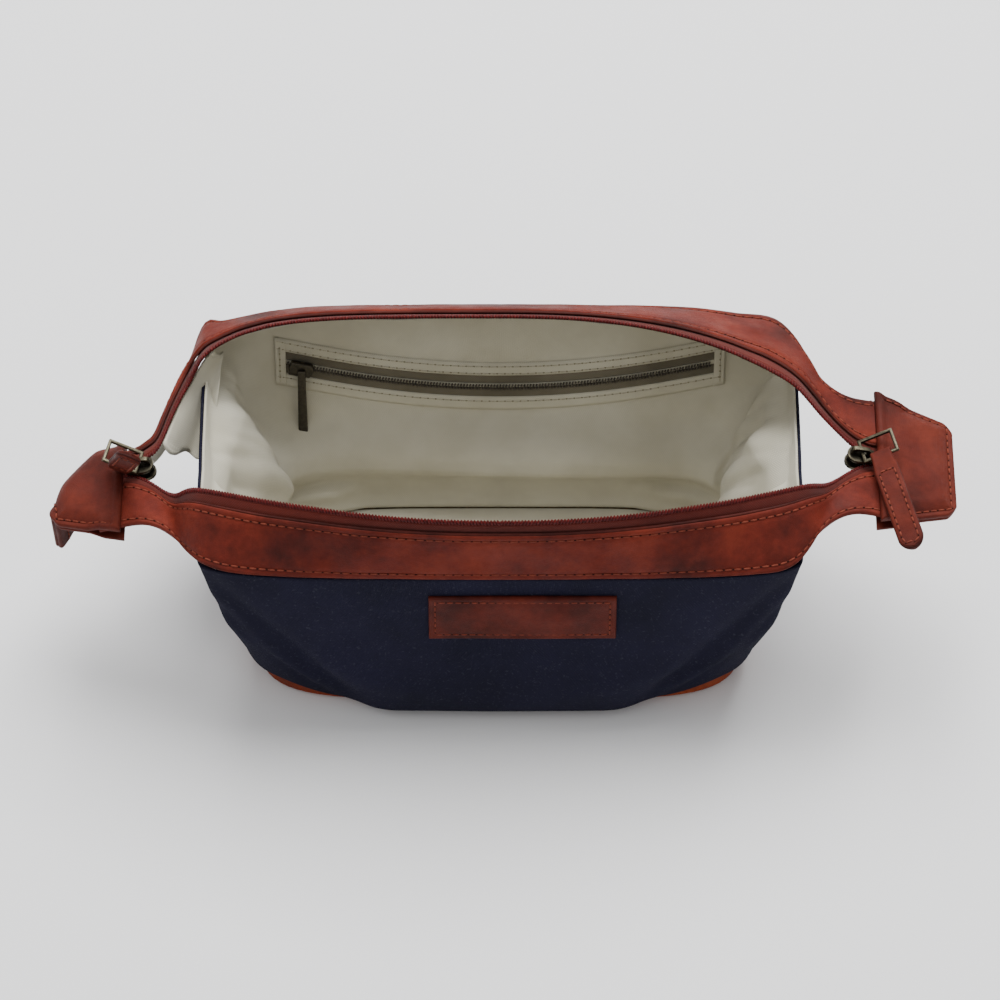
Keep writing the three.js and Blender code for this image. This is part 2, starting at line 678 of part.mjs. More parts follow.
const POCKET_HALF = 92;
const POCKET_Z = 79;
const POCKET_SAG = 14;
const POCKET_WINDOW = 11;
const POCKET_FRAME = 5; // cloth border round the window
const POCKET_DEPTH = 45;
const POCKET_SLIDER_X = -82;
const POCKET_TAPE_LAYER = [-3.4, -2.6];
const POCKET_COIL_LAYER = [-3.8, -2.6];
const POCKET_COIL_HALF = 1.3;
const POCKET_COIL_GAP = 0.4;
const POCKET_BAG_HALF = 66;
const POCKET_SLIDER_DEPTH = 4.5; // from the canvas to the slider's underside
const POCKET_SLIDER_HEIGHT = 2.2;
const POCKET_SLIDER_HALF_WIDTH = 3.2;
const POCKET_PULL_LENGTH = 32;
const POCKET_PULL_THICKNESS = 1.2;

function pocketLine(x) {
  return POCKET_Z - POCKET_SAG * (1 - (x / POCKET_HALF) ** 2);
}

function pocketSheet(x0, x1, low, high, layer, columns = 20) {
  const at = (u, v) => {
    const x = lerp(x0, x1, u);
    return wallPoint(WALLS.back, x, pocketLine(x) + lerp(low, high, v));
  };
  return sheet(at, layer, () => vec(0, 1, 0), columns, 1);
}

function addPocket() {
  const half = POCKET_WINDOW / 2;
  const tapeLow = POCKET_COIL_HALF + POCKET_COIL_GAP;
  const tapeHigh = half - GAP;
  const rows = { upper: [half, half + POCKET_FRAME], lower: [-half - POCKET_FRAME, -half] };
  for (const [name, [low, high]] of Object.entries(rows)) {
    const welt = pocketSheet(-POCKET_HALF, POCKET_HALF, low, high, POCKET_TAPE_LAYER);
    addPart(`pocket_welt_${name}`, welt, 'lining');
  }
  const tapeReach = POCKET_HALF - 1.5;
  const along = (low, high, layer) => pocketSheet(-tapeReach, tapeReach, low, high, layer);
  addPart('pocket_tape_upper', along(tapeLow, tapeHigh, POCKET_TAPE_LAYER), 'pocketTape');
  addPart('pocket_tape_lower', along(-tapeHigh, -tapeLow, POCKET_TAPE_LAYER), 'pocketTape');
  addPart('pocket_coil', along(-POCKET_COIL_HALF, POCKET_COIL_HALF, POCKET_COIL_LAYER), 'pocketCoil');
  const bagTop = -half;
  const cloth = sheet((u, v) => {
    const x = lerp(-POCKET_BAG_HALF, POCKET_BAG_HALF, u);
    return wallPoint(WALLS.back, x, pocketLine(x) + lerp(bagTop - POCKET_DEPTH, bagTop, v));
  }, POCKET_CLOTH, () => vec(0, 1, 0), 16, 6);
  addPart('pocket_bag', cloth, 'lining');
}

function pocketSliderShape() {
  const half = POCKET_SLIDER_HALF_WIDTH;
  const shape = new THREE.Shape();
  shape.moveTo(-5, -half);
  shape.lineTo(4, -half);
  shape.quadraticCurveTo(6, 0, 4, half);
  shape.lineTo(-5, half);
  shape.closePath();
  return shape;
}

// A bar that widens a little to its round tip, with its pivot near the origin.
function pocketPullShape() {
  const [topHalf, tip] = [1.6, 2];
  const shape = new THREE.Shape();
  shape.moveTo(-topHalf, 0.6);
  shape.lineTo(-tip, -POCKET_PULL_LENGTH);
  shape.absarc(0, -POCKET_PULL_LENGTH, tip, Math.PI, 2 * Math.PI);
  shape.lineTo(topHalf, 0.6);
  shape.closePath();
  return shape;
}

function addPocketSlider() {
  const line = wallPoint(WALLS.back, POCKET_SLIDER_X, pocketLine(POCKET_SLIDER_X));
  const above = wallPoint(WALLS.back, POCKET_SLIDER_X, line.z + 10);
  const beside = wallPoint(WALLS.back, POCKET_SLIDER_X + 10, pocketLine(POCKET_SLIDER_X + 10));
  const alongZip = beside.sub(line).normalize();
  const inward = alongZip.clone().cross(above.sub(line)).normalize();
  if (inward.y > 0) {
    inward.negate();
  }
  const upWall = inward.clone().cross(alongZip);
  const frame = new THREE.Group();
  frame.position.copy(line).addScaledVector(inward, POCKET_SLIDER_DEPTH);
  frame.quaternion.setFromRotationMatrix(new THREE.Matrix4().makeBasis(alongZip, upWall, inward));
  bag.add(frame);
  addPart('pocket_slider', extrude(pocketSliderShape(), POCKET_SLIDER_HEIGHT, 4), 'bronze', frame);
  const half = POCKET_PULL_THICKNESS / 2;
  const bar = extrude(pocketPullShape(), POCKET_PULL_THICKNESS, 6).translate(0, 0, -half);
  const hanger = addPart('pocket_pull', bar, 'bronze', frame);
  hanger.position.z = POCKET_SLIDER_HEIGHT + GAP + half;
  hanger.rotation.z = Math.atan2(upWall.x, alongZip.x); // it hangs straight down from the sloping zip
}

// ---------------------------------------------------------------- the whole bag
addBase();
Object.keys(WALLS).forEach(addFlap);
Object.keys(ENDS).forEach(addEnd);
for (const wallName of Object.keys(WALLS)) {
  for (const endName of Object.keys(ENDS)) {
    addWing(wallName, endName);
  }
}
Object.keys(ENDS).forEach(addTab);
Object.keys(ENDS).forEach(addSlider);
addPatch();
addPocket();
addPocketSlider();

// The origin is the middle of the bag's box, on the ground.
const box = new THREE.Box3().setFromObject(bag);
const centre = box.getCenter(vec(0, 0, 0));
bag.position.set(-centre.x, -centre.y, -box.min.z);

export default bag;
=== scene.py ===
"""Looks of the open canvas and leather wash bag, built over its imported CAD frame."""
import json
import math

import bmesh
import bpy
import numpy as np
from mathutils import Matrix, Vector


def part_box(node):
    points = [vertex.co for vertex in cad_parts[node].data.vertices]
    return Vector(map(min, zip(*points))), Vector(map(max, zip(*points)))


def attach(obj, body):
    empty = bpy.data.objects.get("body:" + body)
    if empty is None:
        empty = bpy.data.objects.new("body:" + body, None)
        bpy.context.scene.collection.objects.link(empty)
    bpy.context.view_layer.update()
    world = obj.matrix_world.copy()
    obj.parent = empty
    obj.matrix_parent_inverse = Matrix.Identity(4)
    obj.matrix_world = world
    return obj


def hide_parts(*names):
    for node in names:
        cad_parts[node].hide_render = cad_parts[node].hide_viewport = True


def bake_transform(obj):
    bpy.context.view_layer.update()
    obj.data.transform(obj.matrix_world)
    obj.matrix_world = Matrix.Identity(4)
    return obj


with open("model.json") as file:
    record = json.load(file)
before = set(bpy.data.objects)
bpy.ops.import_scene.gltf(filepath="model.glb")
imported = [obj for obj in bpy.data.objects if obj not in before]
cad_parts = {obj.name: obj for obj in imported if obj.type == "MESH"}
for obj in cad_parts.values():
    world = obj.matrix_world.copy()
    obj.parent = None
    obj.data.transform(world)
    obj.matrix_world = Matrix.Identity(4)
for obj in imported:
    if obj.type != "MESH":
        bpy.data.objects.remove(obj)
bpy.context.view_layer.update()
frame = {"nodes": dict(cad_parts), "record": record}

MM = 0.001
base_low, base_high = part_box("base_leather")
BASE_OFF_CENTRE = 1.0  # the back half of the base is 2 mm deeper than the front half
SHIFT_Y = (base_low.y + base_high.y) / 2 / MM - BASE_OFF_CENTRE  # from the bag's own Y to the frame's

# ---- shape of the bag, in millimetres
TRAY_WALL = 2.0
FLOOR_TOP = 5.6  # upper side of the lining's floor
BASE_LENGTH = base_high.x / MM - TRAY_WALL
BODY_LENGTH = 125.0
SHOULDER = 95.0
GUSSET_TOP = 92.0
RIM_HEIGHT = 124.0
RIM_REACH = 150.0
ROUND_RIM = (RIM_REACH, 2.3, 0.81)  # reach, power and fall of the mouth's outline
SQUARE_RIM = (142, 9, 0.8)
BASE_CORNER_POWER = 5
TOP_CORNER_POWER = 9
TRAY_LOW, TRAY_HIGH = 4.0, 14.0
TAB_SLOPE = 0.25
STRIP_END = 160.0
TAB_START = 151.0
TAB_INNER_HALF = 33.0
TAB_OUTER_HALF = 22.5
FOLD_TURN = STRIP_END + 1
DROOP_ANGLE = math.radians(75)
DROOP_RADIUS = 7.0
DROOP_START = 2.5
TAPE_HALF_GAP = 1.8  # from the middle of the closed end of the zip to the edge of each strip

WALLS = {
    "front": dict(name="front", sign=-1, base=48.0, band=55.0, belly=5.0, band_z=92.5, rim=52.0, cut=62.0),
    "back": dict(name="back", sign=1, base=50.0, band=75.0, belly=2.0, band_z=103.0, rim=54.0, cut=96.0),
}
ENDS = {
    "left": dict(name="left", sign=-1, tab=91.0, reach=29.34, pull_rise=62, pull_bend=1.5, droops=True),
    "right": dict(name="right", sign=1, tab=98.0, reach=32.0, pull_rise=8, pull_bend=-3.0, droops=False),
}
POCKET_HALF = 92.0
POCKET_Z = 79.0
POCKET_SAG = 14.0


def smooth(x, low, high):
    """0 below the low value, 1 above the high one, and an even S between them."""
    t = np.clip((x - low) / (high - low), 0, 1)
    return t * t * (3 - 2 * t)


def lerp(a, b, t):
    return a + (b - a) * t


def hump(distance, width):
    """1 where the distance is 0, fading to 0 on both sides."""
    return np.exp(-((distance / width) ** 2))


def unit(v):
    return v / np.maximum(np.linalg.norm(v, axis=-1, keepdims=True), 1e-9)


def half_length(z):
    return lerp(BASE_LENGTH, BODY_LENGTH, np.clip(z / SHOULDER, 0, 1) ** 0.8)


def corner_power(z):
    return lerp(BASE_CORNER_POWER, TOP_CORNER_POWER, smooth(z, TRAY_HIGH, SHOULDER))


def half_depth(wall, z):
    share = np.clip(z / wall["band_z"], 0, 1)
    return lerp(wall["base"], wall["band"], share) + wall["belly"] * np.sin(math.pi * share)


def tray_height(towards_end):
    return lerp(TRAY_LOW, TRAY_HIGH, smooth(towards_end, 0.32, 0.75))


def band_low_z(wall, x):
    return lerp(wall["band_z"], SHOULDER, np.clip(np.abs(x) / BODY_LENGTH, 0, 1) ** 4)


def wall_point(wall, x, z):
    along = np.clip(np.abs(x) / half_length(z), 0, 0.999)
    power = corner_power(z)
    y = half_depth(wall, z) * (1 - along ** power) ** (1 / power)
    return np.stack(np.broadcast_arrays(x, wall["sign"] * y, z), axis=-1)


def droops_at(wall, end):
    return end["droops"] and wall["sign"] > 0


def rim_point(wall, end, x):
    reach, power, fall = SQUARE_RIM if droops_at(wall, end) else ROUND_RIM
    y = wall["rim"] * (1 - (np.abs(x) / reach) ** power) ** fall
    along = np.abs(x) / RIM_REACH
    mean_tab = (ENDS["left"]["tab"] + ENDS["right"]["tab"]) / 2
    drop = RIM_HEIGHT - lerp(mean_tab, end["tab"], along ** 2)
    return np.stack([x, wall["sign"] * y, RIM_HEIGHT - drop * along ** 4], axis=-1)


def droop(points, fold_y, angle):
    """Bends points down, by how far they lie behind a fold."""
    beyond = np.maximum(points[..., 1] - fold_y, 0)
    turned = np.minimum(beyond / DROOP_RADIUS, angle)
    straight = beyond - DROOP_RADIUS * turned
    bent = fold_y + DROOP_RADIUS * np.sin(turned) + straight * np.cos(angle)
    y = np.where(beyond > 0, bent, points[..., 1])
    fall = DROOP_RADIUS * (1 - np.cos(turned)) + straight * np.sin(angle)
    return np.stack([points[..., 0], y, points[..., 2] - fall], axis=-1)


def tab_plane(end, x):
    return end["tab"] - TAB_SLOPE * (x - RIM_REACH)


def catmull(points, count):
    """Points spread evenly along a smooth curve through the given ones."""
    p = np.array(points, float)
    p = np.vstack([2 * p[0] - p[1], p, 2 * p[-1] - p[-2]])
    t = np.linspace(0, 1, 24, endpoint=False)[:, None]
    dense = []
    for a, b, c, d in zip(p[:-3], p[1:-2], p[2:-1], p[3:]):
        dense.append(0.5 * (2 * b + (c - a) * t + (2 * a - 5 * b + 4 * c - d) * t ** 2
                            + (3 * b - a - 3 * c + d) * t ** 3))
    return evenly(np.vstack(dense + [p[-2:-1]]), count)


def distances(line):
    """How far along a line each of its points is."""
    return np.concatenate([[0], np.cumsum(np.linalg.norm(np.diff(line, axis=0), axis=1))])


def read_along(values, at, want):
    return np.stack([np.interp(want, at, values[:, k]) for k in range(3)], axis=1)


def evenly(line, count):
    """The same line with its points the same distance apart."""
    at = distances(line)
    return read_along(line, at, np.linspace(0, at[-1], count))


CENTRE_COUNT, WING_COUNT = 40, 64  # points of a strip along the wall, and on from there to its tab


def strip_edges(wall, end):
    """Lower and upper edge of the rim strip, from the middle of a wall to under a tab."""
    cut = wall["cut"]
    x = np.linspace(0, cut, CENTRE_COUNT)
    z = band_low_z(wall, x)
    low_centre = wall_point(wall, x, z)
    rim_centre = rim_point(wall, end, x)

    def near(px, py, lift=0.0):
        return np.array([px, wall["sign"] * py, tab_plane(end, px) + lift])

    square = droops_at(wall, end)
    rim = [rim_point(wall, end, v) for v in (cut, (cut + 120) / 2, 120)]
    rim += [near(127, 39, 2), near(133, 25, 0.5), near(138, 10)] if square else [near(131, 17, 1.5)]
    rim += [near(142, 5.5) if square else near(141, 7), near(148, 2.2)]
    rim += [near(154, TAPE_HALF_GAP), near(STRIP_END, TAPE_HALF_GAP)]
    if wall["sign"] < 0:
        shoulder = [wall_point(wall, 100.0, 93.0), wall_point(wall, 116.0, 94.0), near(128, 37, -5)]
    elif square:
        shoulder = [wall_point(wall, 113.0, 99.0), near(120, 72, -1), near(129, 66), near(136, 46)]
    else:
        shoulder = [wall_point(wall, 113.0, 100.0), near(124, 50, -1), near(130, 37, 0)]
    low = [low_centre[-1], *shoulder, near(141, 35 if square else 30), near(STRIP_END, 30)]
    low_line = np.vstack([low_centre[:-1], catmull(low, WING_COUNT)])
    rim_line = np.vstack([rim_centre[:-1], catmull(rim, WING_COUNT)])
    turn = [end["sign"], 1, 1]
    return low_line * turn, rim_line * turn


# ---- meshes
def to_frame(points):
    """Millimetres of the bag to metres of the frame."""
    return (np.array(points, float) + [0, SHIFT_Y, 0]) * MM


def new_object(name, data):
    made = bpy.data.objects.new(name, data)
    bpy.context.scene.collection.objects.link(made)
    return made


def new_mesh(name, points, faces, material, uv=None):
    """A smooth mesh from points in millimetres, with all of its faces looking outwards."""
    mesh = bpy.data.meshes.new(name)
    mesh.from_pydata(to_frame(points).tolist(), [], faces)
    mesh.materials.append(material)
    if uv is not None:
        layer = mesh.uv_layers.new(name="cloth")
        corners = np.zeros(len(mesh.loops), int)
        mesh.loops.foreach_get("vertex_index", corners)
        layer.data.foreach_set("uv", np.asarray(uv, float)[corners].ravel())
    mesh.polygons.foreach_set("use_smooth", [True] * len(mesh.polygons))
    mesh.update()
    bm = bmesh.new()
    bm.from_mesh(mesh)
    bmesh.ops.recalc_face_normals(bm, faces=bm.faces)
    bm.to_mesh(mesh)
    bm.free()
    return new_object(name, mesh)


def grid_faces(rows, columns, start=0, closed=False):
    """Quads of a grid of points; closed joins the last column to the first."""
    faces = []
    for i in range(rows - 1):
        for j in range(columns if closed else columns - 1):
            a, b = start + i * columns + j, start + i * columns + (j + 1) % columns
            faces.append((a, b, b + columns, a + columns))
    return faces


def flat_grid(along, across):
    """UV coordinates, in millimetres, of a grid of points."""
    return np.stack(np.meshgrid(along, across, indexing="ij"), axis=-1).reshape(-1, 2)


def surface_normals(grid, hint):
    along = np.gradient(grid, axis=0)
    across = np.gradient(grid, axis=1)
    normal = unit(np.cross(along, across))
    flip = np.sign(np.sum(normal * hint, axis=-1, keepdims=True))
    return normal * np.where(flip == 0, 1, flip)


def loft_sections(name, sections, material, uv=None, first_cap=True):
    """A tube through sections, each a closed loop of the same number of points, with flat ends."""
    sections = np.asarray(sections)
    rows, columns = sections.shape[:2]
    points = sections.reshape(-1, 3)
    faces = grid_faces(rows, columns, closed=True)
    if first_cap:
        faces.append(tuple(range(columns))[::-1])
    faces.append(tuple((rows - 1) * columns + j for j in range(columns)))
    return new_mesh(name, points, faces, material, uv)


def blend_quarter(obj):
    """Bakes the piece's placement into its mesh."""
    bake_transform(obj)
    return obj


# ---- materials
def rgb(code):
    values = [int(code[i:i + 2], 16) / 255 for i in (1, 3, 5)]
    return [((v + 0.055) / 1.055) ** 2.4 if v > 0.04045 else v / 12.92 for v in values] + [1.0]


class Nodes:
    """A material under construction, with one method for each kind of step."""

    def __init__(self, name, roughness=0.7, metallic=0.0):
        self.material = bpy.data.materials.new(name)
        self.material.use_nodes = True
        self.tree = self.material.node_tree
        self.shader = self.tree.nodes["Principled BSDF"]
        self.shader.inputs["Roughness"].default_value = roughness
        self.shader.inputs["Metallic"].default_value = metallic
        self.shader.inputs["Specular IOR Level"].default_value = 0.5 if metallic else 0.13
        self.coordinates = self.tree.nodes.new("ShaderNodeTexCoord")

    def node(self, kind, **settings):
        made = self.tree.nodes.new("ShaderNode" + kind)
        for key, value in settings.items():
            if key in made.inputs:
                made.inputs[key].default_value = value
            else:
                setattr(made, key, value)
        return made

    def link(self, source, target):
        self.tree.links.new(source, target)

    def feed(self, value, target):
        """A number, a colour code or another node's output goes into a socket."""
        if isinstance(value, (int, float)):
            target.default_value = value
        elif isinstance(value, str):
            target.default_value = rgb(value)
        else:
            self.link(value, target)

    def noise(self, scale, detail=3.0, roughness=0.55):
        made = self.node("TexNoise", Scale=scale, Detail=detail, Roughness=roughness)
        self.link(self.coordinates.outputs["Object"], made.inputs["Vector"])
        return made.outputs["Fac"]

    def pores(self, scale):
        made = self.node("TexVoronoi", feature="DISTANCE_TO_EDGE", Scale=scale)
        self.link(self.coordinates.outputs["Object"], made.inputs["Vector"])
        return made.outputs["Distance"]

    def ramp(self, factor, stops):
        made = self.node("ValToRGB")
        elements = made.color_ramp.elements
        while len(elements) < len(stops):
            elements.new(0.5)
        for element, (position, colour) in zip(elements, stops):
            element.position = position
            element.color = rgb(colour) if isinstance(colour, str) else [colour] * 3 + [1.0]
        self.link(factor, made.inputs["Fac"])
        return made.outputs["Color"]

    def mix(self, factor, a, b, blend="MIX"):
        made = self.node("Mix", data_type="RGBA", blend_type=blend)
        for value, slot in ((factor, 0), (a, 6), (b, 7)):
            self.feed(value, made.inputs[slot])
        return made.outputs[2]

    def maths(self, operation, a, b=0.0):
        made = self.node("Math", operation=operation)
        self.feed(a, made.inputs[0])
        self.feed(b, made.inputs[1])
        return made.outputs[0]

    def waves(self, pitch_mm, axis):
        """Ridges of a cloth, the given distance apart, across one direction of its own grid."""
        split = self.node("SeparateXYZ")
        self.link(self.coordinates.outputs["UV"], split.inputs[0])
        return self.maths("SINE", self.maths("MULTIPLY", split.outputs[axis], 2 * math.pi / pitch_mm))

    def bump(self, height, distance_mm, strength=1.0, under=None):
        made = self.node("Bump", Strength=strength, Distance=distance_mm * MM)
        self.link(height, made.inputs["Height"])
        if under is not None:
            self.link(under, made.inputs["Normal"])
        return made.outputs["Normal"]

    def finish(self, colour=None, roughness=None, normal=None, sheen=0.0):
        for value, key in ((colour, "Base Color"), (roughness, "Roughness"), (normal, "Normal")):
            if value is not None:
                self.link(value, self.shader.inputs[key])
        self.shader.inputs["Sheen Weight"].default_value = sheen
        return self.material


def leather(name, light, middle, dark, worn=0.35):
    """Matte pull-up leather: mottled, with fine grain, small pores and a few lighter rubs."""
    m = Nodes(name)
    colour = m.ramp(m.noise(38, 4, 0.6), [(0.3, dark), (0.5, middle), (0.72, light)])
    fine = m.ramp(m.noise(420, 3, 0.6), [(0.3, 0.55), (0.7, 1.0)])
    colour = m.mix(0.45, colour, fine, "MULTIPLY")
    rubs = m.ramp(m.noise(95, 5, 0.7), [(0.56, 0.0), (0.74, worn)])
    colour = m.mix(rubs, colour, light)
    grain = m.bump(m.ramp(m.pores(1500), [(0.0, 0.0), (0.18, 1.0)]), 0.10, 0.6)
    grain = m.bump(m.noise(160, 4, 0.6), 0.5, 0.45, grain)
    rough = m.ramp(m.noise(70, 3, 0.5), [(0.3, 0.52), (0.7, 0.74)])
    return m.finish(colour, rough, grain)


def woven(name, light, dark, pitch, relief, flecks=0.15, sheen=0.1, wrinkle=0.0):
    """Plain weave: two sets of threads that pass over and under each other, with painted shade where they dip
    under.
    """
    m = Nodes(name, 0.92)
    across, along = m.waves(2 * pitch, 0), m.waves(2 * pitch, 1)
    over = m.maths("MULTIPLY", across, along)
    ridges = m.maths("ADD", m.maths("ABSOLUTE", across), m.maths("ABSOLUTE", along))
    height = m.maths("ADD", m.maths("MULTIPLY", over, 0.5), ridges)
    colour = m.ramp(m.noise(22, 4, 0.6), [(0.35, dark), (0.65, light)])
    # painted shade: the colour is darkened to 0.72 where the threads dip under each other
    painted_weave_shade = m.ramp(m.maths("MULTIPLY", m.maths("ADD", over, 1.0), 0.5), [(0.0, 0.72), (1.0, 1.0)])
    colour = m.mix(0.6, colour, painted_weave_shade, "MULTIPLY")
    fleck = m.ramp(m.noise(900, 2, 0.5), [(0.6, 0.0), (0.72, flecks)])
    colour = m.mix(fleck, colour, "#8d8f98")
    normal = m.bump(height, relief, 0.7)
    if wrinkle:
        normal = m.bump(m.noise(34, 3, 0.5), wrinkle, 0.6, normal)
    return m.finish(colour, None, normal, sheen)


def metal(name, light, dark, roughness=0.34):
    """Plated metal: dark in the hollows, rubbed bright where it is handled."""
    m = Nodes(name, roughness, 0.95)
    edge = m.ramp(m.node("NewGeometry").outputs["Pointiness"], [(0.5, dark), (0.62, light)])
    spots = m.mix(m.ramp(m.noise(700, 4, 0.7), [(0.45, 0.0), (0.7, 0.6)]), edge, dark)
    rough = m.ramp(m.noise(500, 3, 0.6), [(0.3, roughness - 0.08), (0.7, roughness + 0.2)])
    normal = m.bump(m.noise(900, 3, 0.6), 0.05, 0.4)
    return m.finish(spots, rough, normal)


def plain_fibre(name, light, dark, roughness=0.55, scale=600):
    """Thread, cord and coil: two close tones with a fine twist."""
    m = Nodes(name, roughness)
    colour = m.ramp(m.noise(scale, 3, 0.6), [(0.3, dark), (0.7, light)])
    normal = m.bump(m.noise(2 * scale, 2, 0.5), 0.06, 0.5)
    return m.finish(colour, None, normal)


BAND_LEATHER = leather("band_leather", "#732a1b", "#5c1e14", "#3a120d")
TAB_LEATHER = leather("tab_leather", "#642619", "#511c13", "#34110c")
BASE_LEATHER = leather("base_leather", "#984829", "#7f351d", "#5c2616")
EDGE_LEATHER = leather("cut_edge_leather", "#55221a", "#401813", "#290f0c", 0.1)
CANVAS = woven("navy_canvas", "#1e1d31", "#171727", 0.62, 0.25, flecks=0.06, sheen=0.0, wrinkle=0.5)
LINING = woven("cotton_lining", "#c9c5b5", "#b8b3a1", 0.42, 0.1, flecks=0.0, sheen=0.1, wrinkle=0.7)
TAPE = woven("zip_tape", "#60241c", "#4e1b15", 0.5, 0.16, flecks=0.0)
COIL = plain_fibre("zip_coil", "#5e1a19", "#3a0f0f", 0.4)
CORD = plain_fibre("zip_cord", "#471516", "#2c0c0d", 0.7)
THREAD = plain_fibre("thread", "#7c3c2d", "#5c291f", 0.8, 900)
# painted shade: the needle-hole colours are the shade inside the holes
HOLE_SHADE = plain_fibre("needle_hole_shade", "#34160f", "#1f0c08", 0.9)
LINING_THREAD = plain_fibre("lining_thread", "#b9b4a2", "#979180", 0.8, 900)
LINING_HOLE_SHADE = plain_fibre("lining_needle_hole_shade", "#8f8a79", "#7b7665", 0.9)
BRASS = metal("antique_brass", "#857d66", "#211f1a")
BRONZE = metal("dark_bronze", "#6d675c", "#23211e", 0.42)
POCKET_TAPE = woven("pocket_tape", "#726c5d", "#5d5749", 0.5, 0.14, flecks=0.0)
POCKET_COIL = plain_fibre("pocket_coil", "#57524a", "#37332d", 0.45)
BOARD = plain_fibre("base_board", "#8a7a5c", "#75674d", 0.9)


# ---- small repeated pieces
BEAD_SIDES = 6


def bead(centre, along, across, out, size, rings):
    """Points of one round-ended bead lying along a direction."""
    points = []
    for i in range(rings + 1):
        t = math.pi * i / rings
        for j in range(BEAD_SIDES):
            a = 2 * math.pi * j / BEAD_SIDES
            ahead = -math.cos(t) * size[0]
            aside = math.sin(t) * math.cos(a) * size[1]
            proud = math.sin(t) * math.sin(a) * size[2]
            points.append(centre + ahead * along + aside * across + proud * out)
    return points


def bead_row(name, places, size, material, rings=4):
    """Many beads in one mesh. A place is (centre, along, out)."""
    points, faces = [], []
    for centre, along, out in places:
        across = unit(np.cross(out, along))
        faces += grid_faces(rings + 1, BEAD_SIDES, start=len(points), closed=True)
        points += bead(centre, along, across, out, size, rings)
    return new_mesh(name, points, faces, material)


STEP_ASIDE = 0.2  # how far ahead and behind a place the line's direction is read


def walk(line, out, pitch):
    """Places a pitch apart along a line of points, each with the line's direction and the way out. The way
    out is given for each point, or once for all of them."""
    at = distances(line)
    out = np.broadcast_to(out, line.shape)
    want = pitch * (0.5 + np.arange(int(at[-1] // pitch)))
    ahead, behind = (read_along(line, at, want + step) for step in (STEP_ASIDE, -STEP_ASIDE))
    return list(zip(read_along(line, at, want), unit(ahead - behind), unit(read_along(out, at, want))))


def stitches(name, line, out, place, thread=THREAD, hole_shade=HOLE_SHADE, pitch=3.7, length=3.0, thick=0.42):
    """A row of stitches with dark beads of painted shade in its needle holes. place() puts each piece on its
    body.
    """
    places = walk(line, out, pitch)
    raised = [(c + 0.05 * n, t, n) for c, t, n in places]
    place(bead_row(name, raised, (length / 2, thick, thick * 0.8), thread))
    # painted shade: a dark bead sunk between each pair of stitches, where the needle hole lies in shade
    sunk = [(c + t * pitch / 2 - 0.1 * n, t, n) for c, t, n in places]
    place(bead_row(name + "_hole_shades", sunk, (0.5, 0.42, 0.3), hole_shade))


# ---- canvas walls and lining
def quarter_angles(wall, count):
    """Angles round a quarter of the body, from the middle of a wall to an end, evenly spread."""
    angle = np.linspace(math.pi / 2, 0, 1200)
    z = 60.0  # about half way up
    power = 2 / corner_power(z)
    x = half_length(z) * np.abs(np.cos(angle)) ** power
    y = half_depth(wall, z) * np.abs(np.sin(angle)) ** power
    length = np.concatenate([[0], np.cumsum(np.hypot(np.diff(x), np.diff(y)))])
    return np.interp(np.linspace(0, length[-1], count), length, angle)


def quarter_grid(wall, end, columns, rows, low, top_drop=0.0, follow_tray=1.0):
    """Body surface of a quarter, from the middle of the wall to the end and upwards, with how far each of its
    columns is towards the end, from 0 to 1."""
    angle = quarter_angles(wall, columns)[:, None]
    c = np.clip(np.cos(angle), 0, 1)
    s = np.clip(np.sin(angle), 0, 1)
    c[0] = s[-1] = 0
    guess_x = half_length(SHOULDER) * c ** (2 / TOP_CORNER_POWER)
    top = lerp(band_low_z(wall, guess_x), GUSSET_TOP, smooth(guess_x, 106, 124)) - top_drop
    bottom = tray_height(c) * follow_tray + low
    z = lerp(bottom, top, np.linspace(0, 1, rows)[None, :])
    power = 2 / corner_power(z)
    x = half_length(z) * c ** power
    y = half_depth(wall, z) * s ** power
    grid = np.stack([end["sign"] * x, wall["sign"] * y, z], axis=-1)
    return grid, c


def body_normals(grid):
    """Ways out of a quarter of the body, square to its two mirror planes where it meets the next quarter."""
    normals = surface_normals(grid, grid * [1, 3, 0])
    normals[0, :, 0] = 0
    normals[-1, :, 1:] = 0
    return unit(normals)


def shell(name, grid, normals, outer, inner, material, closed=False):
    """A cloth of real thickness between two distances from a surface. Unless it is closed, it is open where
    it meets its mirror half."""
    rows, columns = grid.shape[:2]
    outer, inner = (np.asarray(d)[..., None] if np.ndim(d) else d for d in (outer, inner))
    points = np.concatenate([(grid + normals * side).reshape(-1, 3) for side in (outer, inner)])
    count = rows * columns
    faces = grid_faces(rows, columns) + [f[::-1] for f in grid_faces(rows, columns, start=count)]
    for i in range(rows - 1):
        for j, turn in ((0, 1), (columns - 1, -1)):
            a, b = i * columns + j, (i + 1) * columns + j
            faces.append((a, b, b + count, a + count)[::turn])
    for j in range(columns - 1 if closed else 0):
        for i in (0, rows - 1):
            a, b = i * columns + j, i * columns + j + 1
            faces.append((a, b, b + count, a + count))
    uv = flat_grid(distances(grid[:, columns // 2]), distances(grid[rows // 2]))
    return new_mesh(name, points, faces, material, np.vstack([uv, uv]))


def ripple(grid, scale, seed):
    """Smooth uneven cloth: a few long waves in different directions."""
    x, y, z = (grid[..., k] for k in range(3))
    total = 0
    for k, (a, b, c) in enumerate(((1.0, 0.4, 0.7), (-0.6, 0.9, 0.5), (0.3, -0.8, 1.1), (0.9, 0.6, -0.9))):
        total = total + np.sin((a * x + b * y + c * z) / scale + seed * (k + 1.7))
    return total / 4


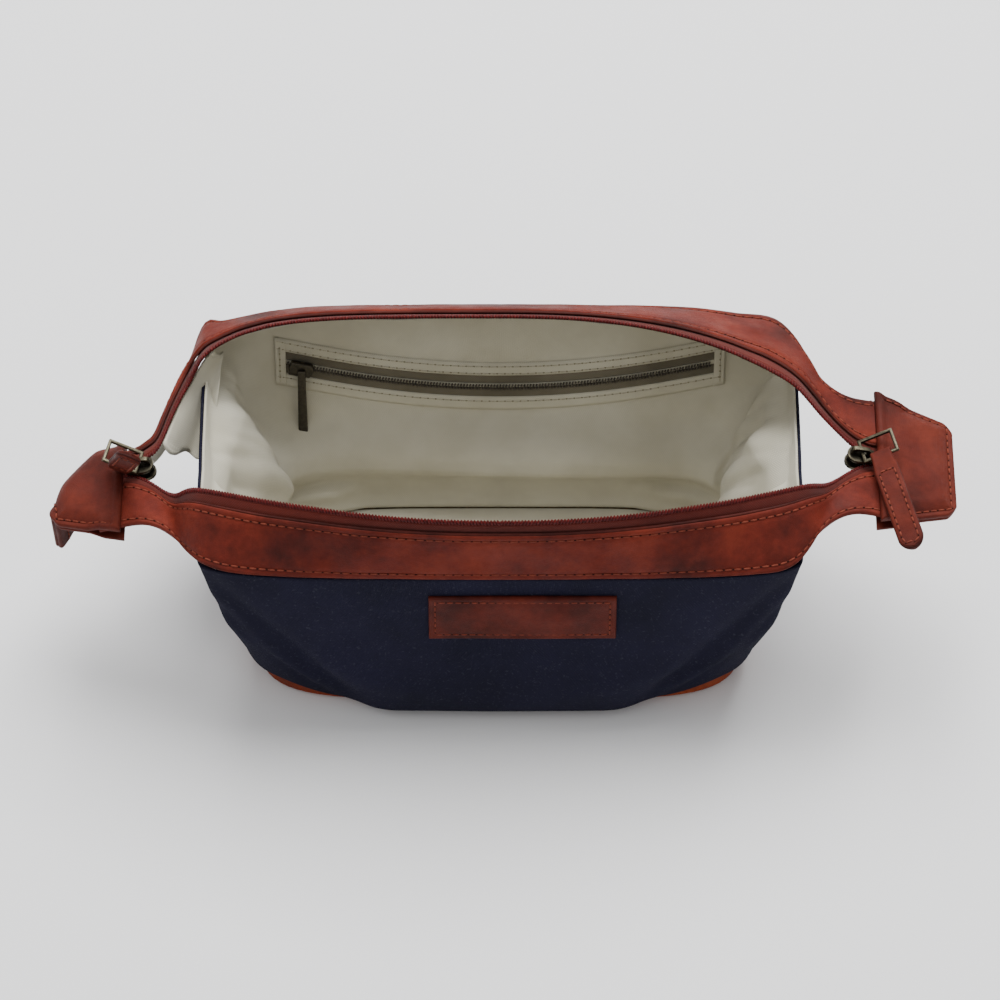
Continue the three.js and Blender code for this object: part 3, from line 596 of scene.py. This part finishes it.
def crease(grid, start, stop, width):
    """1 on a straight crease line in X and Z, fading with distance and towards its ends."""
    p = grid[..., [0, 2]]
    a, b = np.array(start, float), np.array(stop, float)
    d = b - a
    t = np.clip(((p - a) @ d) / (d @ d), 0, 1)
    distance = np.linalg.norm(p - (a + t[..., None] * d), axis=-1)
    return hump(distance, width) * np.sin(math.pi * np.clip(t, 0.02, 0.98)) ** 0.5


def share_of_height(wall, z, towards_end):
    """Height as a share of the wall's, or of the gusset's at an end."""
    return np.clip(z / lerp(wall["band_z"], GUSSET_TOP, smooth(towards_end, 0.6, 0.98)), 0, 1)


FRONT_CREASES = (  # height, lower end and upper end in X and Z, and width
    (-2.6, (58, 12), (117, 90), 5),
    (2.2, (66, 12), (112, 62), 4),
    (-2.0, (76, 15), (114, 70), 3),
    (1.2, (20, 22), (84, 40), 7),
)


def canvas_relief(grid, wall, end, towards_end):
    """How far the canvas stands out from the plain body."""
    z = grid[..., 2]
    share = share_of_height(wall, z, towards_end)
    relief = 0.8 * ripple(grid, 17, 2.0) * np.sin(math.pi * share) ** 0.5
    relief += 0.35 * ripple(grid, 7, 2.6) * np.sin(math.pi * share)
    middle = 1 - smooth(towards_end, 0.1, 0.42)
    sag = smooth(z, 3, 10) * (1 - smooth(z, 14, 60))
    relief += (8.0 if wall["sign"] < 0 else 3.0) * sag * middle
    side = end["sign"]
    for height, (low_x, low_z), (high_x, high_z), width in FRONT_CREASES if wall["sign"] < 0 else ():
        relief += height * crease(grid, (side * low_x, low_z), (side * high_x, high_z), width)
    gusset = smooth(towards_end, 0.8, 1.0)
    fold = hump(grid[..., 1], 9)
    hollow = np.sin(math.pi * share) * smooth(z, TRAY_HIGH, TRAY_HIGH + 22)
    relief -= (5.0 + 4.0 * fold) * gusset * hollow * (1 + 0.2 * np.sin(z / 9))
    relief -= 4.0 * gusset * smooth(z, 66, 90)
    return relief


def pocket_line(x):
    return POCKET_Z - POCKET_SAG * (1 - (x / POCKET_HALF) ** 2)


def pocket_bulge(inward, x, z):
    """The pocket's bag pushes the lining in under the pocket's window, which itself lies flat."""
    wave = 1 + 0.25 * np.sin(x / 31 + 0.6)
    bulge = wave * smooth(z, 18, 30) * (1 - smooth(z, 34, 52)) * (1 - smooth(np.abs(x), 96, 110))
    window = (1 - smooth(np.abs(x), 95, 101)) * (1 - smooth(np.abs(z - pocket_line(x)), 13, 19))
    return lerp(inward + 9.5 * bulge, 0.2, window)


def gusset_folds(grid, end, share, towards_end):
    """Sleeves, pleats and puckers of the lining at an end of the bag."""
    y, z = grid[..., 1], grid[..., 2]
    gusset = smooth(towards_end, 0.35, 0.9)
    round_y = y + 6 * end["sign"]
    sleeve = sum(hump(round_y - side * 26, 13) for side in (-1, 1))
    sleeve = sleeve * (1 + 0.3 * np.sin(z / 15 + end["sign"]))
    level = hump(z - 52, 20)
    lift = smooth(z, 10, 34) * (1 - smooth(z, 76, 92))
    folds = gusset * lift * (4.0 + 9.0 * sleeve + (6.0 if end["sign"] > 0 else 3.0) * level)
    tilt = y + 0.35 * (z - 50)
    pleats = np.abs(np.sin(tilt / 8.5 + end["sign"])) ** 0.7 + 0.5 * np.abs(np.sin(tilt / 4.6 + z / 21))
    folds += 2.6 * pleats * gusset * smooth(z, 12, 40) * (1 - smooth(z, 80, 92))
    folds += 1.6 * ripple(grid, 6.5, 5.0) * gusset * np.sin(math.pi * share)
    puckers = np.sin(y / 1.7 + 2 * np.sin(z / 5)) * hump(z - 84, 7) * hump(y, 13)
    return folds + 0.9 * puckers * gusset


def lining_relief(grid, wall, end, towards_end):
    """How far the lining hangs in from the plain body, always inside the canvas and the leather tray."""
    x, z = grid[..., 0], grid[..., 2]
    share = share_of_height(wall, z, towards_end)
    inward = 0.8 + 0.9 * ripple(grid, 13, 3.4) * np.sin(math.pi * share)
    inward += 2.5 * smooth(z, 12, 26) * (1 - smooth(z, 30, 70))
    if wall["sign"] > 0:
        inward = pocket_bulge(inward, x, z)
    inward += gusset_folds(grid, end, share, towards_end)
    at_tray = smooth(towards_end, 0.15, 0.4) * (1 - smooth(z, TRAY_HIGH, 22))
    tray = (half_length(z) - BASE_LENGTH + 0.3) * at_tray
    clear = -1.0 - canvas_relief(grid, wall, end, towards_end)
    return np.maximum(inward, np.maximum(tray, clear)) + 2.0 * (1 - smooth(z, 6, 11))


def add_body(wall, end):
    """Canvas and lining of a quarter of the bag."""
    tag = f"{wall['name']}_{end['name']}"
    grid, towards_end = quarter_grid(wall, end, 110, 56, 0.4)
    normals = body_normals(grid)
    relief = canvas_relief(grid, wall, end, towards_end)
    grid = grid + normals * relief[..., None]
    canvas = shell(tag + "_canvas", grid, normals, 1.3, 0.1, CANVAS)
    lining, towards_end = quarter_grid(wall, end, 130, 60, FLOOR_TOP, -1.0, follow_tray=0.0)
    normals = body_normals(lining)
    inward = lining_relief(lining, wall, end, towards_end)
    lining = lining - normals * inward[..., None]
    cloth = shell(tag + "_lining", lining, normals, -1.4, -2.2, LINING)
    for piece in (canvas, cloth):
        blend_quarter(piece)
    return canvas, cloth


# ---- band, tape, coil and facing
BAND_TOP = 0.8
STITCH_SHARES = {"low": 0.1, "high": 0.71}


class Strip:
    """Half of the rim of one wall, from its middle to under a tab. A share runs from 0 at the lower edge to
    1 at the rim, and an offset is a distance outwards."""

    def __init__(self, wall, end):
        self.wall, self.end = wall, end
        self.low, self.rim = strip_edges(wall, end)
        self.count = len(self.low)

    def line(self, share):
        points = lerp(self.low, self.rim, share)
        if not droops_at(self.wall, self.end):
            return points
        angle = DROOP_ANGLE * smooth(np.abs(points[:, 0]), 118, 132)
        return droop(points, self.rim[:, 1] + DROOP_START, angle)

    def outward(self, share):
        along = np.gradient(self.line(share), axis=0)
        normal = np.cross(along, self.line(share + 0.01) - self.line(share - 0.01))
        turn = np.linspace(0, 0 if droops_at(self.wall, self.end) else 1, self.count)[:, None]
        lean = 0.3 * self.end["sign"] + 0 * turn
        hint = np.hstack([lean, self.wall["sign"] * (1 - turn) * 1.2, 0.3 + turn])
        normal = unit(normal * np.sign(np.sum(normal * hint, axis=1, keepdims=True)))
        normal[0, 0] = 0
        return unit(normal)

    def at(self, share, offset):
        return self.line(share) + self.outward(share) * offset


def densify(section, step=0.06):
    """The same closed section with no stretch longer than the step."""
    points = []
    for a, b in zip(section, section[1:] + section[:1]):
        count = max(1, math.ceil(abs(b[0] - a[0]) / step))
        points += [(lerp(a[0], b[0], k / count), lerp(a[1], b[1], k / count)) for k in range(count)]
    return points


def strip_piece(name, strip, section, material, last=None, wave=0.0):
    """A strip of cloth or leather with the given section of (share, offset) pairs."""
    section = densify(section)
    sections = np.stack([strip.at(share, offset)[:last] for share, offset in section], axis=1)
    length = distances(sections[:, 0])
    if wave:
        shift = wave * (np.sin(length / 9) + 0.5 * np.sin(length / 4.1 + 1))
        sections = sections + strip.outward(0.5)[:last, None, :] * shift[:, None, None]
    width = np.array([share for share, _ in section]) * np.linalg.norm(strip.rim[0] - strip.low[0])
    return loft_sections(name, sections, material, flat_grid(length, width), first_cap=False)


def leather_section(low, high, top, bottom):
    """Section of a leather strip: rounded edges and a shallow groove along each stitch row."""
    edge = 0.012
    upper = [(low, lerp(bottom, top, 0.7)), (low + edge, top)]
    for row in STITCH_SHARES.values():
        upper += [(row - 0.035, top + 0.12), (row, top - 0.35), (row + 0.035, top + 0.12)]
    upper += [(high - edge, top), (high, lerp(bottom, top, 0.7))]
    return upper + [(high, bottom), ((low + high) / 2, bottom), (low, bottom)]


def add_lining_flap(strip):
    """The loose end of the lining between the zip and the gusset, where the strip hangs down."""
    line = strip.at(0.88, -2.5)
    outer = line[(np.abs(line[:, 0]) > 115) & (np.abs(line[:, 0]) < 137)]
    outer = evenly(outer, 40)
    along = np.linspace(0, 1, 40)[:, None]
    across = np.linspace(0, 1, 24)[None, :]
    inner = lerp(np.array([-113.0, 54.0, 101.0]), np.array([-117.5, 22.0, 76.0]), along)
    grid = lerp(outer[:, None, :], inner[:, None, :], across[..., None])
    hang = np.sin(math.pi * across) * (0.4 + along)
    grid[..., 2] -= 5.0 * hang + 1.2 * np.sin(9 * across + 4 * along) * along
    grid[..., 1] -= 1.5 * np.sin(7 * across + 1) * along + 2.5 * np.sin(11 * across) * (along > 0.97)
    normals = surface_normals(grid, [0.2, 0.0, 1.0])
    flap = shell("left_lining_flap", grid, normals, 0.4, -0.4, LINING, closed=True)
    blend_quarter(flap)


LEATHER_SECTION = leather_section(0.01, BAND_TOP, 2.0, 0.3)
PIPING_SECTION = [(BAND_TOP, 1.5), (BAND_TOP + 0.02, 1.2), (BAND_TOP + 0.025, 0.5), (BAND_TOP, 0.3)]
TAPE_SECTION = [(0.6, -0.3), (0.8, -0.1), (0.86, 0.1), (0.955, -0.2)]
TAPE_SECTION += [(0.955, -0.9), (0.86, -0.6), (0.6, -1.1)]
FACING_SECTION = [(0.07, -1.5), (0.5, -1.6), (0.84, -1.3), (0.9, -1.2)]
FACING_SECTION += [(0.9, -1.9), (0.5, -2.4), (0.07, -2.3)]
CORD_SECTION = [(0.965 + 0.024 * math.cos(a), -0.75 + 0.7 * math.sin(a)) for a in np.arange(6) * math.pi / 3]
TOOTH_PITCH = 1.3


def add_teeth(name, strip):
    """The zip's coil: slanted beads across the free edge of the tape."""
    line = strip.at(0.975, -0.55)
    across = unit(strip.line(1.0) - strip.line(0.9))
    teeth = []
    for centre, along, out in walk(line, strip.outward(0.95), TOOTH_PITCH):
        nearest = across[np.argmin(np.linalg.norm(line - centre, axis=1))]
        teeth.append((centre, unit(nearest + 0.35 * along), out))
    return bead_row(name, teeth, (1.35, 0.52, 0.95), COIL, rings=5)


def add_strips(wall, end):
    """Band, zip tape, facing, cord, coil and stitches of a quarter of the mouth."""
    tag = f"{wall['name']}_{end['name']}"
    strip = Strip(wall, end)

    def place(obj):
        return blend_quarter(obj)

    band = place(strip_piece(tag + "_band", strip, LEATHER_SECTION, BAND_LEATHER, wave=0.12))
    place(strip_piece(tag + "_band_edge", strip, PIPING_SECTION, EDGE_LEATHER))
    tape = place(strip_piece(tag + "_zip_tape", strip, TAPE_SECTION, TAPE))
    facing_end = strip.count - 1 if wall["sign"] > 0 else int(strip.count * 0.7)
    place(strip_piece(tag + "_facing", strip, FACING_SECTION, LINING, last=facing_end, wave=0.3))
    if droops_at(wall, end):
        add_lining_flap(strip)
    place(strip_piece(tag + "_zip_cord", strip, CORD_SECTION, CORD))
    coil = place(add_teeth(tag + "_zip_teeth", strip))
    for label, share in STITCH_SHARES.items():
        stitches(f"{tag}_band_stitches_{label}", strip.at(share, 1.85), strip.outward(share), place)
    return band, tape, coil


# ---- patch and pocket
def wall_sheet(name, wall, x, z, outer, inner, material):
    """A piece of cloth or leather on a wall. x and z are grids."""
    grid = wall_point(wall, x, z)
    normals = surface_normals(grid, [0, wall["sign"], 0.0])
    obj = shell(name, grid, normals, outer, inner, material, closed=True)
    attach(obj, wall["name"] + "_wall")
    return obj


def edge_spread(count, sharpness):
    """Values from 0 to 1, closer together at both ends."""
    even = np.linspace(0, 1, count)
    return lerp(even, 0.5 - 0.5 * np.cos(math.pi * even), 1 - sharpness)


def rounded(distance, radius):
    """How far a surface has sunk at a distance from its edge, from 1 at the edge to 0."""
    return 1 - np.sqrt(1 - (1 - np.clip(distance / radius, 0, 1)) ** 2)


PATCH_CENTRE = 9.0
PATCH_HALF = 37.5
PATCH_LOW, PATCH_HIGH = 58.0, 83.0
PATCH_SEAM = 2.6  # from the patch's edge to its stitches


def add_patch():
    """The plain leather patch on the front, with a pressed seam all round."""
    wall = WALLS["front"]
    u, v = np.meshgrid(edge_spread(60, 0.1), edge_spread(24, 0.1), indexing="ij")
    width, height = 2 * PATCH_HALF, PATCH_HIGH - PATCH_LOW
    x = PATCH_CENTRE + (u - 0.5) * width
    z = PATCH_LOW + v * height
    inset = np.minimum(np.minimum(u, 1 - u) * width, np.minimum(v, 1 - v) * height)
    pressed = 0.3 * hump(inset - PATCH_SEAM, 0.7)
    outer = 3.3 - 0.9 * rounded(inset, 1.0) + 0.12 * np.sin(x / 9) - pressed
    patch = wall_sheet("patch", wall, x, z, outer, 1.2, TAB_LEATHER)
    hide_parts("leather_patch")
    corners = [(-1, -1), (1, -1), (1, 1), (-1, 1), (-1, -1)]
    border = []
    for (x0, z0), (x1, z1) in zip(corners, corners[1:]):
        t = np.linspace(0, 1, 40, endpoint=False)
        px = PATCH_CENTRE + lerp(x0, x1, t) * (PATCH_HALF - PATCH_SEAM)
        pz = (PATCH_LOW + PATCH_HIGH) / 2 + lerp(z0, z1, t) * (height / 2 - PATCH_SEAM)
        border.append(wall_point(wall, px, pz))
    out = np.array([0.0, -1.0, 0.15])

    def place(obj):
        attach(obj, "front_wall")

    stitches("patch_stitches", np.vstack(border) + out * 3.0, out, place, pitch=3.3, length=2.6)


WINDOW_HALF = 5.5  # half the height of the pocket's window
FRAME_WIDE = 6.5
INTO_BAG = np.array([0.0, -1.0, 0.1])  # the way out of the back wall's lining


def pocket_band(name, low, high, outer, inner, material):
    """A strip of cloth along the pocket's line, between two heights from it."""
    u, v = np.meshgrid(np.linspace(-1, 1, 90), np.linspace(0, 1, 6), indexing="ij")
    x = u * POCKET_HALF
    z = pocket_line(x) + lerp(low, high, v)
    rim = rounded(np.minimum(v, 1 - v) * abs(high - low), 0.7)
    return wall_sheet(name, WALLS["back"], x, z, inner, outer + 0.35 * rim, material)


def add_pocket_frame():
    """Four strips of lining round the window."""
    edge = WINDOW_HALF + FRAME_WIDE
    for label, low, high in (("upper", WINDOW_HALF, edge), ("lower", -edge, -WINDOW_HALF)):
        welt = pocket_band("pocket_frame_" + label, low, high, -3.4, -2.0, LINING)
        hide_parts("pocket_welt_" + label)
    for side, label in ((-1, "left"), (1, "right")):
        u, v = np.meshgrid(np.linspace(0, 1, 8), np.linspace(-1, 1, 14), indexing="ij")
        x = side * (POCKET_HALF - 3.5 + 4.5 * u)
        z = pocket_line(x) + v * (WINDOW_HALF + 6.2)
        wall_sheet("pocket_frame_end_" + label, WALLS["back"], x, z, -2.0, -3.5, LINING)


def add_pocket_zip():
    """Two tapes with a row of teeth on each."""
    upper = pocket_band("pocket_zip_tape_upper", 1.1, WINDOW_HALF + 0.5, -2.9, -2.3, POCKET_TAPE)
    lower = pocket_band("pocket_zip_tape_lower", -WINDOW_HALF - 0.5, -1.1, -2.9, -2.3, POCKET_TAPE)
    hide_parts("pocket_tape_upper")
    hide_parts("pocket_tape_lower")
    x = np.linspace(-POCKET_HALF + 4, POCKET_HALF - 4, 200)
    teeth = []
    for lift in (-0.75, 0.75):
        line = wall_point(WALLS["back"], x, pocket_line(x) + lift) + INTO_BAG * 3.3
        slant = unit([0.35 * lift, 0, 1.0])
        teeth += [(centre, slant, out) for centre, _, out in walk(line, INTO_BAG, 1.25)]
    coil = bead_row("pocket_zip_teeth", teeth, (0.85, 0.45, 0.6), POCKET_COIL)
    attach(coil, "back_wall")
    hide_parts("pocket_coil")


def add_pocket_stitches():
    """Rows of stitches along the window and one across each of its ends."""
    wall = WALLS["back"]

    def place(obj):
        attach(obj, "back_wall")

    x = np.linspace(-POCKET_HALF - 0.5, POCKET_HALF + 0.5, 160)
    lifts = {"upper": WINDOW_HALF + 1.6, "lower": -WINDOW_HALF - 1.6, "upper_outer": WINDOW_HALF + 5.2}
    for label, lift in lifts.items():
        line = wall_point(wall, x, pocket_line(x) + lift) + INTO_BAG * 3.5
        stitches("pocket_stitches_" + label, line, INTO_BAG, place, LINING_THREAD, LINING_HOLE_SHADE, 3.2, 2.4, 0.3)
    z = np.linspace(-WINDOW_HALF - 4.5, WINDOW_HALF + 4.5, 30)
    for side, label in ((-1, "left"), (1, "right")):
        end_x = side * (POCKET_HALF - 1.2) + 0 * z
        line = wall_point(wall, end_x, pocket_line(end_x) + z) + INTO_BAG * 3.7
        stitches("pocket_stitches_" + label, line, INTO_BAG, place, LINING_THREAD, LINING_HOLE_SHADE, 3.0, 2.2, 0.3)


# ---- tabs
def tab_surface(end, u, v):
    """Middle of a tab's thickness. u runs outwards and v from the front edge to the back edge."""
    x = TAB_START + end["reach"] * u
    corner = 4.0
    rounding = corner * (1 - np.sqrt(1 - smooth(u, 1 - corner / end["reach"], 1)))
    half = lerp(TAB_INNER_HALF, TAB_OUTER_HALF, u) - rounding
    points = np.stack([end["sign"] * x, half * (2 * v - 1), tab_plane(end, x)], axis=-1)
    if not end["droops"]:
        return points, half
    turn = np.maximum(x - FOLD_TURN, 0) / (TAB_START + end["reach"] - FOLD_TURN)
    fold = lerp(TAPE_HALF_GAP + DROOP_START, 1.5 - TAB_OUTER_HALF, turn ** 1.3)
    return droop(points, fold, DROOP_ANGLE), half


TAB_SEAM = 2.6  # from a tab's edge to its stitches


def upper_side(end):
    """Roughly the way up out of a tab's upper leather."""
    return np.array([0, 0.9 if end["droops"] else 0.0, 1.0])


def tab_padding(to_edge, u):
    """Distance from the middle of a tab to the inner face of each leather: full over the strips' ends and the
    middle, and closed at the edge."""
    full = np.maximum(smooth(to_edge, 1, 8), 1 - smooth(u, 0.25, 0.5))
    return full, lerp(0.15, 2.3, full)


def tab_seam(end, side):
    """The line of a tab's stitches, round its three free edges, and the way out along it."""
    front = np.linspace(0.06, 1 - TAB_SEAM / end["reach"], 60)
    edge_v = TAB_SEAM / (2 * lerp(TAB_INNER_HALF, TAB_OUTER_HALF, front))
    outer_v = np.linspace(edge_v[-1] + 0.03, 1 - edge_v[-1] - 0.03, 60)
    u = np.concatenate([front, np.full(60, front[-1]), front[::-1]])
    v = np.concatenate([edge_v, outer_v, (1 - edge_v)[::-1]])
    near = 0.004
    centre, _ = tab_surface(end, u, v)
    ahead, _ = tab_surface(end, u + near, v)
    across, _ = tab_surface(end, u, v + near)
    out = unit(np.cross(ahead - centre, across - centre))
    out = out * np.sign(out @ upper_side(end))[:, None] * side
    _, inside = tab_padding(np.full(len(u), TAB_SEAM), u)
    return centre + out * (inside + 1.8)[:, None], out


def add_tab(end):
    """The two leathers of a tab, thick over the ends of the strips and pressed together at the edge."""
    name = end["name"]
    u, v = np.meshgrid(edge_spread(46, 0.3), edge_spread(70, 0.3), indexing="ij")
    grid, half = tab_surface(end, u, v)
    normals = surface_normals(grid, upper_side(end))
    along = u * end["reach"]
    to_edge = np.minimum(np.minimum(v, 1 - v) * 2 * half, end["reach"] - along)
    full, inside = tab_padding(to_edge, u)
    seam = 0.35 * hump(to_edge - TAB_SEAM, 0.8) * smooth(along, 1, 3)
    lip = 0.9 * hump(along - 1.8, 1.6)
    soft = 0.25 * np.sin(grid[..., 0] / 6 + grid[..., 1] / 8)
    flat = inside + 2.0 - 1.0 * rounded(np.minimum(to_edge, along), 1.1) - seam

    def place(obj):
        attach(obj, "base")

    for label, side, outside in (("upper", 1, flat + lip + soft * full), ("lower", -1, flat)):
        piece = f"{name}_tab_leather_{label}"
        leather_piece = shell(piece, grid, normals, side * outside, side * inside, TAB_LEATHER, closed=True)
        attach(leather_piece, "base")
        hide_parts(f"{name}_tab_{label}")
        line, out = tab_seam(end, side)
        stitches(f"{name}_tab_stitches_{label}", line, out, place, pitch=3.4, length=2.7)


# ---- metal parts and pulls
def body_of(node):
    bodies = frame["record"]["behaviour"]["bodies"]
    return next(body for body, nodes in bodies.items() if node in nodes)


def refined(node, material, width):
    """A copy of a hard CAD part with rounded edges."""
    name = node + "_metal"
    source = frame["nodes"][node]
    mesh = source.data.copy()
    mesh.name = name
    mesh.materials.clear()
    mesh.materials.append(material)
    bm = bmesh.new()
    bm.from_mesh(mesh)
    bmesh.ops.remove_doubles(bm, verts=bm.verts, dist=1e-6)
    bmesh.ops.dissolve_limit(bm, angle_limit=math.radians(3), verts=bm.verts, edges=bm.edges)
    sharp = [e for e in bm.edges if len(e.link_faces) == 2 and e.calc_face_angle(0) > math.radians(25)]
    bevel = dict(offset=width * MM, segments=3, profile=0.5, affect="EDGES", clamp_overlap=True)
    bmesh.ops.bevel(bm, geom=sharp, **bevel)
    bmesh.ops.triangulate(bm, faces=[f for f in bm.faces if len(f.verts) > 4])
    for face in bm.faces:
        face.smooth = True
        face.material_index = 0
    bm.to_mesh(mesh)
    bm.free()
    obj = new_object(name, mesh)
    obj.matrix_world = source.matrix_world.copy()
    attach(obj, body_of(node))
    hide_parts(node)


def turn_about(axis, degrees):
    i, j = {"x": (1, 2), "y": (2, 0), "z": (0, 1)}[axis]
    turn = np.eye(3)
    turn[i, i] = turn[j, j] = math.cos(math.radians(degrees))
    turn[j, i] = math.sin(math.radians(degrees))
    turn[i, j] = -turn[j, i]
    return turn


RING_LIFT, RING_TURN = 32, 15  # degrees
PULL_LENGTH = 48.0
PULL_HALF_WIDTH = 5.0
PULL_EYE = 2.4  # radius of the fold round the ring
PULL_SEAM = 1.8  # from a pull's edge to its stitches
TIP_ROUND = 4.98  # just under the half width, so that the tip keeps a small flat end
FROM_EYE = np.concatenate([
    np.linspace(-2.3, 6, 12),
    np.linspace(7, 43, 30),
    43 + TIP_ROUND * np.sin(np.linspace(0.1, 1.57, 12)),
])


class Pull:
    """A folded leather pull that hangs from its ring. Distances along it start at the ring."""

    def __init__(self, end):
        joints = frame["record"]["behaviour"]["joints"]
        joint = next(j for j in joints if j["name"] == end["name"] + "_pull_swing")
        self.pivot = np.array(joint["pos_m"]) / MM - [0, SHIFT_Y, 0]
        self.bend = end["pull_bend"]
        side = end["sign"]
        slope = math.degrees(math.atan(TAB_SLOPE))
        axes = (turn_about("y", side * slope) @ turn_about("z", side * RING_TURN)
                @ turn_about("y", -side * RING_LIFT) @ turn_about("x", -end["pull_rise"]))
        self.across, self.back, self.out = axes[:, 0], axes[:, 1], axes[:, 2]

    def half_width(self, along):
        from_tip = (PULL_LENGTH - along) / PULL_HALF_WIDTH
        tip = np.sqrt(np.clip(1 - (1 - np.clip(from_tip, 0, 1)) ** 2, 0.02, 1))
        return PULL_HALF_WIDTH * tip * lerp(0.88, 1.0, smooth(along, 2, 9))

    def at(self, along, aside, proud=0.0):
        """A point by its distance along the pull, across it and out of its bent face."""
        bend = self.bend * (np.clip(along - 8, 0, None) / 40) ** 2
        return self.pivot - self.back * along + self.across * aside + self.out * (proud + bend)

    def edge(self, distances, inset):
        """Line along both sides of the pull, down one and up the other."""
        sides = [[self.at(a, side * (self.half_width(a) - inset)) for a in distances] for side in (1, -1)]
        return np.array(sides[0] + sides[1][::-1])


def pull_leather(pull, name):
    angles = np.linspace(0, 2 * math.pi, 33)[:-1]
    loops = []
    for a in FROM_EYE:
        width = pull.half_width(a)
        eye = math.sqrt(max(1 - (min(a, 0) / PULL_EYE) ** 2, 0.03))
        thickness = eye * lerp(2.4, 1.55, smooth(a, 1, 8))
        aside = width * np.sign(np.cos(angles)) * np.abs(np.cos(angles)) ** 0.35
        proud = thickness * np.sign(np.sin(angles)) * np.abs(np.sin(angles)) ** 0.45
        proud = proud * (1 - 0.12 * hump(np.abs(aside) - width + PULL_SEAM, 0.6))
        loops.append(pull.at(a, aside[:, None], proud[:, None]))
    return loft_sections(f"{name}_pull_leather", loops, TAB_LEATHER, flat_grid(FROM_EYE, 3 * angles))


def pull_edge(pull, name):
    """The darker cut edge round a pull."""
    line = pull.edge(FROM_EYE[FROM_EYE > 5], -0.02)[::-1]
    sideways = unit(np.cross(unit(np.gradient(line, axis=0)), pull.out))
    turns = [k * math.pi / 3 for k in range(6)]
    loops = [line + sideways * 0.22 * math.cos(a) + pull.out * 0.5 * math.sin(a) for a in turns]
    return loft_sections(f"{name}_pull_edge", np.stack(loops, axis=1), EDGE_LEATHER)


def add_pull(end):
    name = end["name"]
    body = name + "_pull"
    pull = Pull(end)

    def place(obj):
        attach(obj, body)

    leather_piece = pull_leather(pull, name)
    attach(leather_piece, body)
    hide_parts(body)
    stitched = FROM_EYE[(FROM_EYE > 9) & (FROM_EYE < 47.4)][:-3]
    seam = pull.edge(stitched, PULL_SEAM)
    neck = np.linspace(-1, 1, 10)[:, None] * pull.across * 3.0 + pull.pivot - pull.back * 9.5
    for side, label in ((1, "face"), (-1, "back")):
        out = pull.out * side
        stitches(f"{name}_pull_stitches_{label}", seam + out * 1.5, out, place, pitch=3.2, length=2.5)
        stitches(f"{name}_pull_cross_{label}", neck + out * 1.55, out, place, pitch=2.8, length=2.3)
    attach(pull_edge(pull, name), body)


# ---- the whole bag
def add_quarter(wall, end):
    """Every soft piece of a quarter of the bag, each standing for its CAD parts."""
    side, corner = wall["name"], f"{wall['name']}_{end['name']}"
    canvas, lining = add_body(wall, end)
    band, tape, coil = add_strips(wall, end)
    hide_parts(corner + "_corner_canvas")
    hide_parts(corner + "_wing_band")
    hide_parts(corner + "_wing_tape")
    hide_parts(corner + "_wing_coil")
    if end["name"] == "left":
        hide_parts(side + "_canvas")
        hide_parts(side + "_lining")
        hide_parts(side + "_band")
        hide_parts(side + "_zip_tape")
        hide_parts(side + "_zip_coil")
    if side == "front":
        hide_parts(end["name"] + "_gusset_canvas")
        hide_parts(end["name"] + "_side_lining")


def paint(node, material):
    slots = frame["nodes"][node].data.materials
    slots.clear()
    slots.append(material)


for wall in WALLS.values():
    for end in ENDS.values():
        add_quarter(wall, end)
paint("base_leather", BASE_LEATHER)
paint("base_board", BOARD)
paint("lining_floor", LINING)
paint("pocket_bag", LINING)
add_patch()
add_pocket_frame()
add_pocket_zip()
add_pocket_stitches()
for name, end in ENDS.items():
    paint(name + "_zip_stop", BRASS)
    add_tab(end)
    add_pull(end)
    refined(name + "_slider", BRASS, 0.3)
    refined(name + "_ring", BRASS, 0.45)
refined("pocket_slider", BRONZE, 0.4)
refined("pocket_pull", BRONZE, 0.4)


# ---- floor, light and camera
def add_floor():
    m = Nodes("studio_floor", 0.9)
    colour = m.ramp(m.noise(3, 2, 0.5), [(0.3, "#e6e6e7"), (0.7, "#e9e9ea")])
    mesh = bpy.data.meshes.new("floor")
    reach = 6.0
    corners = [(-reach, -reach, 0), (reach, -reach, 0), (reach, reach, 0), (-reach, reach, 0)]
    mesh.from_pydata(corners, [], [(0, 1, 2, 3)])
    mesh.materials.append(m.finish(colour))
    floor = new_object("floor", mesh)


def add_area_light(name, place, size, power):
    data = bpy.data.lights.new(name, "AREA")
    data.energy = power
    data.size = size
    light = new_object(name, data)
    light.location = place
    light.rotation_mode = "QUATERNION"
    light.rotation_quaternion = light.location.to_track_quat("Z", "Y")


def add_camera():
    elevation = math.radians(52)
    distance = 2.2
    view_width = 0.406  # at the target
    target = np.array([0.0, -0.008, 0.0718])
    data = bpy.data.cameras.new("camera")
    data.sensor_width = 36
    data.lens = data.sensor_width * distance / view_width
    camera = new_object("camera", data)
    back = np.array([0.0, -math.cos(elevation), math.sin(elevation)])
    camera.location = target + back * distance
    camera.rotation_euler = (math.pi / 2 - elevation, 0, 0)
    bpy.context.scene.camera = camera


def add_world():
    world = bpy.data.worlds.new("studio")
    world.use_nodes = True
    background = world.node_tree.nodes["Background"]
    background.inputs["Color"].default_value = (1, 1, 1, 1)
    background.inputs["Strength"].default_value = 0.64
    bpy.context.scene.world = world


add_floor()
add_area_light("key", (0.2, 0.75, 1.85), 1.5, 79)
add_area_light("fill", (-0.9, -0.6, 1.8), 1.6, 7)
add_area_light("back", (0.2, 1.6, 1.2), 1.2, 6)
add_camera()
add_world()
